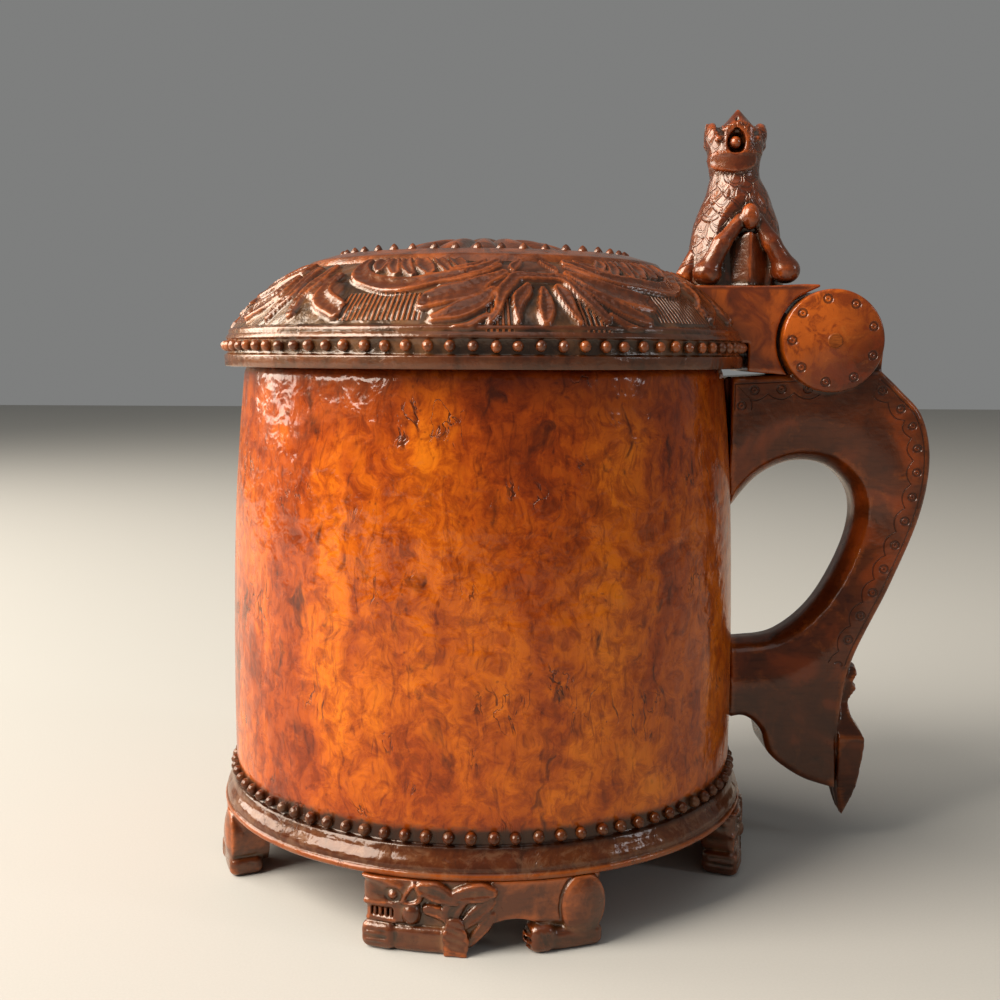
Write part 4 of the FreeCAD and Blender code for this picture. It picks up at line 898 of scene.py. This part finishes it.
# The arm's "worn" value is how far each point stands out: rubbed where it stands out, grime and painted shade
# in the hollows.
arm_points, arm_faces, arm_wear_and_shade = skin(join(beast.wood, arm, 0.3), places)
x, y, z = arm_points.T
up = (z - plinth) / tall
fur_across = np.arctan2(y, x - spine(up) - middle) * girth
smooth_parts = np.minimum.reduce([chin, ball(places, mouth, (3.6, 4.6, 5.0)), oblong, hollow, knob, leg.wood])
cells = ((arm_points - places[0, 0, 0]) / cell).round().astype(int)
cells = np.clip(cells, 0, np.array(smooth_parts.shape) - 1)
elbow = point(-6.6, -12.8, 13.0)
first_leg = np.minimum(limb(arm_points, point(-0.6, -11.8, 20.6), elbow, 2.1, 2.7),
                       limb(arm_points, elbow, point(-10.8, -12.2, 4.6), 2.7, 3.8))
from_smooth = np.minimum(smooth_parts[tuple(cells.T)], first_leg)
on_fur = (smoothstep((up - 0.06) / 0.05) * smoothstep((0.94 - up) / 0.04)
          * smoothstep((from_smooth - 0.2) / 0.6))
arm_side = smoothstep((np.abs(y) - 14.6) / 0.6) * smoothstep((plinth - 0.8 - z) / 0.6)

arm_birch, shader, place, colour, roughness, speck, patch = carved_birch(
    "carved birch, rubbed amber varnish", "1A0A05", "552611", "9A5424", 0.1)
hair_across = attribute(place, "fur_across") + noise(place, 9.0, 2.0) * 7.0
hair_up = attribute(place, "fur_up") + noise(place, 12.0, 2.0) * 10.0
hairy = attribute(place, "on_fur")


def drawn_locks(shift):
    """Every other row of locks: how high it stands, and the cut lines at its tips and inside them."""
    column = abs((hair_across / 5.8 + (shift + 50.0)).step("FRACT") - 0.5) * 2.0
    row = (hair_up / 7.2 + (shift + 50.0) - column ** 1.6 * 0.42).step("FRACT")
    shown = band(column, 1.02, 0.86)
    inner = 1 - band(abs(row - 0.2), 0.02, 0.06)
    return (1 - row) * shown, band(row, 0.84, 0.99).step("MAXIMUM", inner * 0.6) * shown


coat, lines = drawn_locks(0.0)
next_coat, next_lines = drawn_locks(0.5)
lines = lines.step("MAXIMUM", next_lines) * hairy
coat = (coat.step("MAXIMUM", next_coat) - lines * 0.5) * hairy
colour = mix(lines * 0.75, colour, "220C06")
amber = ramp(noise(place, 13.0, 5.0, 1.2), (0.3, "3A180B"), (0.44, "6A3010"), (0.62, "A85C1A"))
colour = mix(attribute(place, "arm_side") * 0.8, colour, amber)
finish_shader(shader, colour, roughness, [(patch, 0.3), (speck, 0.08), (coat, 0.4)], 1.0, 0.15, 0.4, "FFE6D2")
make_piece("lid_arm", [(arm_points, arm_faces)], "lid", arm_birch,
           {"worn": [np.clip((arm_wear_and_shade - 0.16) * 1.35, 0, 1)], "fur_across": [fur_across],
            "fur_up": [z - plinth], "on_fur": [on_fur], "arm_side": [arm_side]})

# Feet: four crouching lions alike, each carved from one piece and bent to the vessel's foot, head on
# the forepaw. Drawn flat first, with u along the lion from its nose, v outwards and w up.

places = grid((0.0, 1.8, 0.0), (69.2, 15.4, 21.0), 0.46)
u, v, w = np.moveaxis(places, -1, 0)
face = 13.8
lion = Carving(places, block, (1.0, 2.4, 7.4), (17.2, face - 0.4, 24.0), 2.2)
lion.join(0.8, limb, (1.6, 12.2, 21.4), (11.4, 12.6, 18.6), 1.9, 1.5)
lion.join(1.0, block, (0.0, 4.2, 12.4), (4.2, face - 1.2, 19.6), 1.6)
lion.cut(0.7, ball, (6.4, 15.2, 16.4), (2.8, 2.0, 2.0))
lion.join(0.3, ball, (14.4, 11.6, 11.3), (3.0, 3.4, 3.6))
lion.join(0.4, limb, (1.4, 12.6, 13.2), (9.4, 13.0, 13.5), 1.0, 0.9)
lion.cut(0.2, block, (2.9, 8.5, 9.3), (9.6, 17.0, 12.2), 0.6)
for tooth in (3.3, 4.9, 6.5, 8.1):
    lion.join(0.1, block, (tooth, 8.0, 9.0), (tooth + 1.0, 13.0, 12.6), 0.35)
lion.join(0.3, limb, (2.0, 12.4, 8.4), (9.8, 12.9, 8.5), 0.9, 0.8)
eye_ring = np.abs(np.hypot((u - 9.4) * 0.85, w - 16.2) - 1.75) - 0.4
lion.cut(0.2, np.maximum(eye_ring, np.abs(v - 14.0) - 1.0))
lion.join(0.1, ball, (9.4, face - 0.6, 16.2), (1.3, 1.2, 1.1))
ear_outline = [(11.4, 14.2), (12.6, 17.0), (15.4, 20.4), (17.6, 17.2), (17.2, 14.6), (14.2, 13.4),
               (11.4, 14.2)]
ear_reach = side_view(places, curve(ear_outline, 5))
ear_out = 13.9 + 0.7 * smoothstep(-ear_reach / 0.9) - 1.7 * smoothstep(-ear_reach / 1.2 - 0.5)
lion.join(0.15, np.maximum(v - ear_out, np.maximum(ear_reach, 10.0 - v)))
lion.join(0.3, block, (14.0, 1.8, 5.0), (36.4, face - 1.6, 24.0), 2.0)
trunk = Carving(places, block, (34.0, 2.6, 6.2), (60.0, face - 1.2, 25.0), 4.0)
trunk.cut(0.8, np.hypot(u - 42.8, w + 2.0) - 12.0)
lion.join(1.2, trunk.wood)
lion.join(1.2, block, (55.0, 2.6, 5.6), (68.8, face - 1.4, 24.0), 4.0)
from_haunch = np.hypot((u - 62.4) / 6.6, (w - 12.4) / 9.2)
haunch = np.maximum((from_haunch - 1) * 6.4, v - 14.5 + 1.7 * from_haunch ** 2)
haunch = join(haunch, limb(places, (61.0, 8.0, 5.6), (54.6, 8.6, 3.4), 4.6, 3.0), 1.6)
lion.cut(0.3, np.maximum(np.abs(haunch - 0.3) - 0.4, 12.0 - v))
lion.join(0.15, haunch)
mane = [
    [(36.6, 11.4, 1.5), (34.6, 8.4, 2.1), (32.0, 5.0, 1.7), (30.6, 2.6, 0.8)],
    [(36.4, 15.2, 1.7), (33.6, 12.8, 2.6), (30.2, 9.8, 2.2), (28.2, 7.4, 0.8)],
    [(19.0, 12.6, 1.8), (22.4, 11.8, 2.1), (25.4, 9.2, 0.9)],
    [(28.4, 15.4, 1.8), (25.8, 13.0, 2.9), (25.2, 10.4, 2.2), (25.6, 8.2, 0.8)],
    [(25.4, 17.2, 0.9), (28.8, 17.4, 2.5), (33.4, 18.0, 3.0), (36.6, 18.0, 1.7)],
    [(17.8, 18.8, 2.3), (21.4, 17.8, 3.0), (25.0, 16.2, 2.1), (27.4, 14.6, 0.8)],
]
for number, lock in enumerate(mane):
    line = curve(lock, 8)
    apart = np.hypot(u[:, :1, :, None] - line[:, 0], w[:, :1, :, None] - line[:, 1])
    nearest = (apart / line[:, 2]).argmin(-1)
    apart = np.take_along_axis(apart, nearest[..., None], -1)[..., 0]
    edge_in = (1 - apart / line[nearest, 2]) * line[nearest, 2]
    form = 1.1 * smoothstep(edge_in / 0.8) - 0.35 * smoothstep(edge_in / 2.4 - 0.2)
    surface = 12.0 + 0.22 * number + (form + 0.1 * np.cos(apart * 2 * np.pi / 1.2))
    lion.join(0.06, np.maximum(v - surface, np.maximum(-edge_in, 10.0 - v)))
paw = Carving(places, block, (0.0, 3.0, 0.0), (10.4, 14.9, 7.9), 2.6)
for toe in (1.7, 3.7, 5.7):
    paw.cut(0.2, limb, (-1.0, 15.3, toe), (7.6, 15.3, toe + 0.2), 1.0, 0.7)
    paw.cut(0.2, limb, (-0.4, 3.0, toe), (-0.4, 15.0, toe), 0.8, 0.8)
lion.join(0.2, paw.wood)
lion.join(0.25, block, (8.6, 3.0, 0.0), (26.0, 13.8, 7.6), 2.0)
lion.cut(0.2, limb, (12.6, 14.6, -1.0), (12.0, 14.6, 8.0), 0.8, 0.6)
elbow_reach = side_view(places, [(23.6, 0.0), (29.8, 0.0), (30.6, 4.2), (29.2, 8.4), (28.2, 11.0),
                                 (24.8, 10.4), (23.2, 6.4)])
elbow = np.maximum(elbow_reach, np.maximum(v - 14.4 + 0.06 * (w - 5.0), 1.8 - v)) + 0.1 * np.sin(w * 2.8 + u)
lion.join(0.4, elbow)
hind = Carving(places, limb, (56.6, 8.6, 3.6), (50.0, 9.4, 3.8), 3.8, 4.6)
hind.join(1.0, block, (47.0, 3.8, 0.0), (54.2, 14.4, 8.0), 2.6)
for toe in (0.0, 2.0, 4.0):
    hind.cut(0.2, limb, (47.6 + toe, 14.8, 7.4 - toe * 0.4), (50.6 + toe, 14.8, -0.5), 0.8, 0.7)
    hind.cut(0.2, limb, (46.6, 3.0, 1.8 + toe), (46.6, 15.0, 1.8 + toe), 0.8, 0.8)
lion.join(0.3, hind.wood)
lion.join(0.6, block, (51.6, 3.0, 0.0), (68.4, 13.6, 6.4), 2.4)
lion.trim(w - 21.0)
lion.trim(-w)
lion_points, lion_faces, lion_wear_and_shade = skin(lion.wood, places)
u, v, w = lion_points.T
# Lion colour value: lighter over the upper back and haunch, rubbed where the carving stands out, with grime
# and painted shade in the hollows.
rubbed = 0.4 * smoothstep((u - 36.0) / 4.0) * smoothstep((w - 7.0) / 3.0)
rubbed = np.clip(rubbed + (lion_wear_and_shade - 0.19) * 1.05, 0, 1)
bend_r = 84.0
for node, facing in (("foot_front", -90.0), ("foot_right", 0.0), ("foot_back", 90.0), ("foot_left", 180.0)):
    azimuth = np.radians(facing) + (u - 34.0) / bend_r
    out = 73.0 + v
    own = np.stack([out * np.cos(azimuth), out * np.sin(azimuth), w], -1)
    make_piece(node, [(own, lion_faces)], "tankard", carved,
               {"worn": [rubbed], "hatched": [np.zeros(len(own))]})

# Pegs and hinge pin: turned birch dowels, close-grained and a little paler than the old carving.

turned_birch, shader, place = start_material("turned birch, worn satin")
fibre = noise(stretched(place, 0.2, 1.0, 1.0), 0.8, 4.0)
colour = ramp(fibre, (0.3, "5E2C12"), (0.7, "96501F"))
finish_shader(shader, colour, spread(fibre, 0.3, 0.7, 0.4, 0.55), [(fibre, 0.05)], 0.2, 0.3)
for node in ("measuring_pegs", "handle_pegs", "lid_pegs", "hinge_pin"):
    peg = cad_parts[node]
    peg.data.materials.clear()
    peg.data.materials.append(turned_birch)

# Table, soft studio light and a camera a little above the rim, looking along the handle's flat side.

paper, shader, place = start_material("pale matt paper")
weave = noise(place, 0.7, 2.0)
finish_shader(shader, mix(weave, "AFADA7", "B7B5AF"), 0.85, [(weave, 0.02)], 0.0, 0.5, glint="FFFFFF")
floor_mesh = bpy.data.meshes.new("table_top")
floor_mesh.from_pydata([(-3, -2.5, 0), (3, -2.5, 0), (3, 3.5, 0), (-3, 3.5, 0)], [], [(0, 1, 2, 3)])
floor_mesh.materials.append(paper)
floor = put("table_top", floor_mesh)

world = bpy.data.worlds.new("studio")
bpy.context.scene.world = world
world.use_nodes = True
tree = world.node_tree
tree.nodes.clear()
background = result(tree, "Background", {}, {"Color": "BFC0BF", "Strength": 0.4})
add(tree, "OutputWorld", {}, {0: background})


def soft_light(name, azimuth, elevation, distance, width, height, power, colour):
    """Rectangular soft light that faces the tankard's middle; azimuth 0 is the camera's side."""
    lamp = bpy.data.lights.new(name, "AREA")
    lamp.shape = "RECTANGLE"
    lamp.size = width
    lamp.size_y = height
    lamp.energy = power
    lamp.color = linear(colour)[:3]
    light = put(name, lamp)
    a = math.radians(azimuth)
    e = math.radians(elevation)
    target = Vector((0.0, 0.0, 0.12))
    towards = Vector((math.sin(a) * math.cos(e), -math.cos(a) * math.cos(e), math.sin(e)))
    light.location = target + distance * towards
    light.rotation_euler = (target - light.location).to_track_quat("-Z", "Y").to_euler()


soft_light("window_left", -66, 34, 1.6, 1.0, 1.2, 57, "FFF6EA")
soft_light("window_side", -110, 22, 1.6, 0.9, 1.0, 24, "FFF6EA")
soft_light("window_right", 68, 21, 1.9, 0.25, 0.55, 3, "F4F7FF")
soft_light("ceiling", -10, 70, 1.8, 1.2, 1.2, 3, "FFFFFF")

lens = bpy.data.cameras.new("camera")
lens.lens = 45.65
lens.sensor_width = 36.0
camera = put("camera", lens)
yaw, pitch, roll = (math.radians(v) for v in (0.73, 6.6, 0.3))
forward = Vector((math.sin(yaw) * math.cos(pitch), math.cos(yaw) * math.cos(pitch), -math.sin(pitch)))
side = Vector((math.cos(yaw), -math.sin(yaw), 0.0))
over = side.cross(forward)
right = math.cos(roll) * side + math.sin(roll) * over
up = -math.sin(roll) * side + math.cos(roll) * over
camera.matrix_world = Matrix((
    (right.x, up.x, -forward.x, axis_x),
    (right.y, up.y, -forward.y, -0.420),
    (right.z, up.z, -forward.z, 0.1656),
    (0, 0, 0, 1),
))
bpy.context.scene.camera = camera
bpy.context.scene.view_settings.view_transform = "Standard"
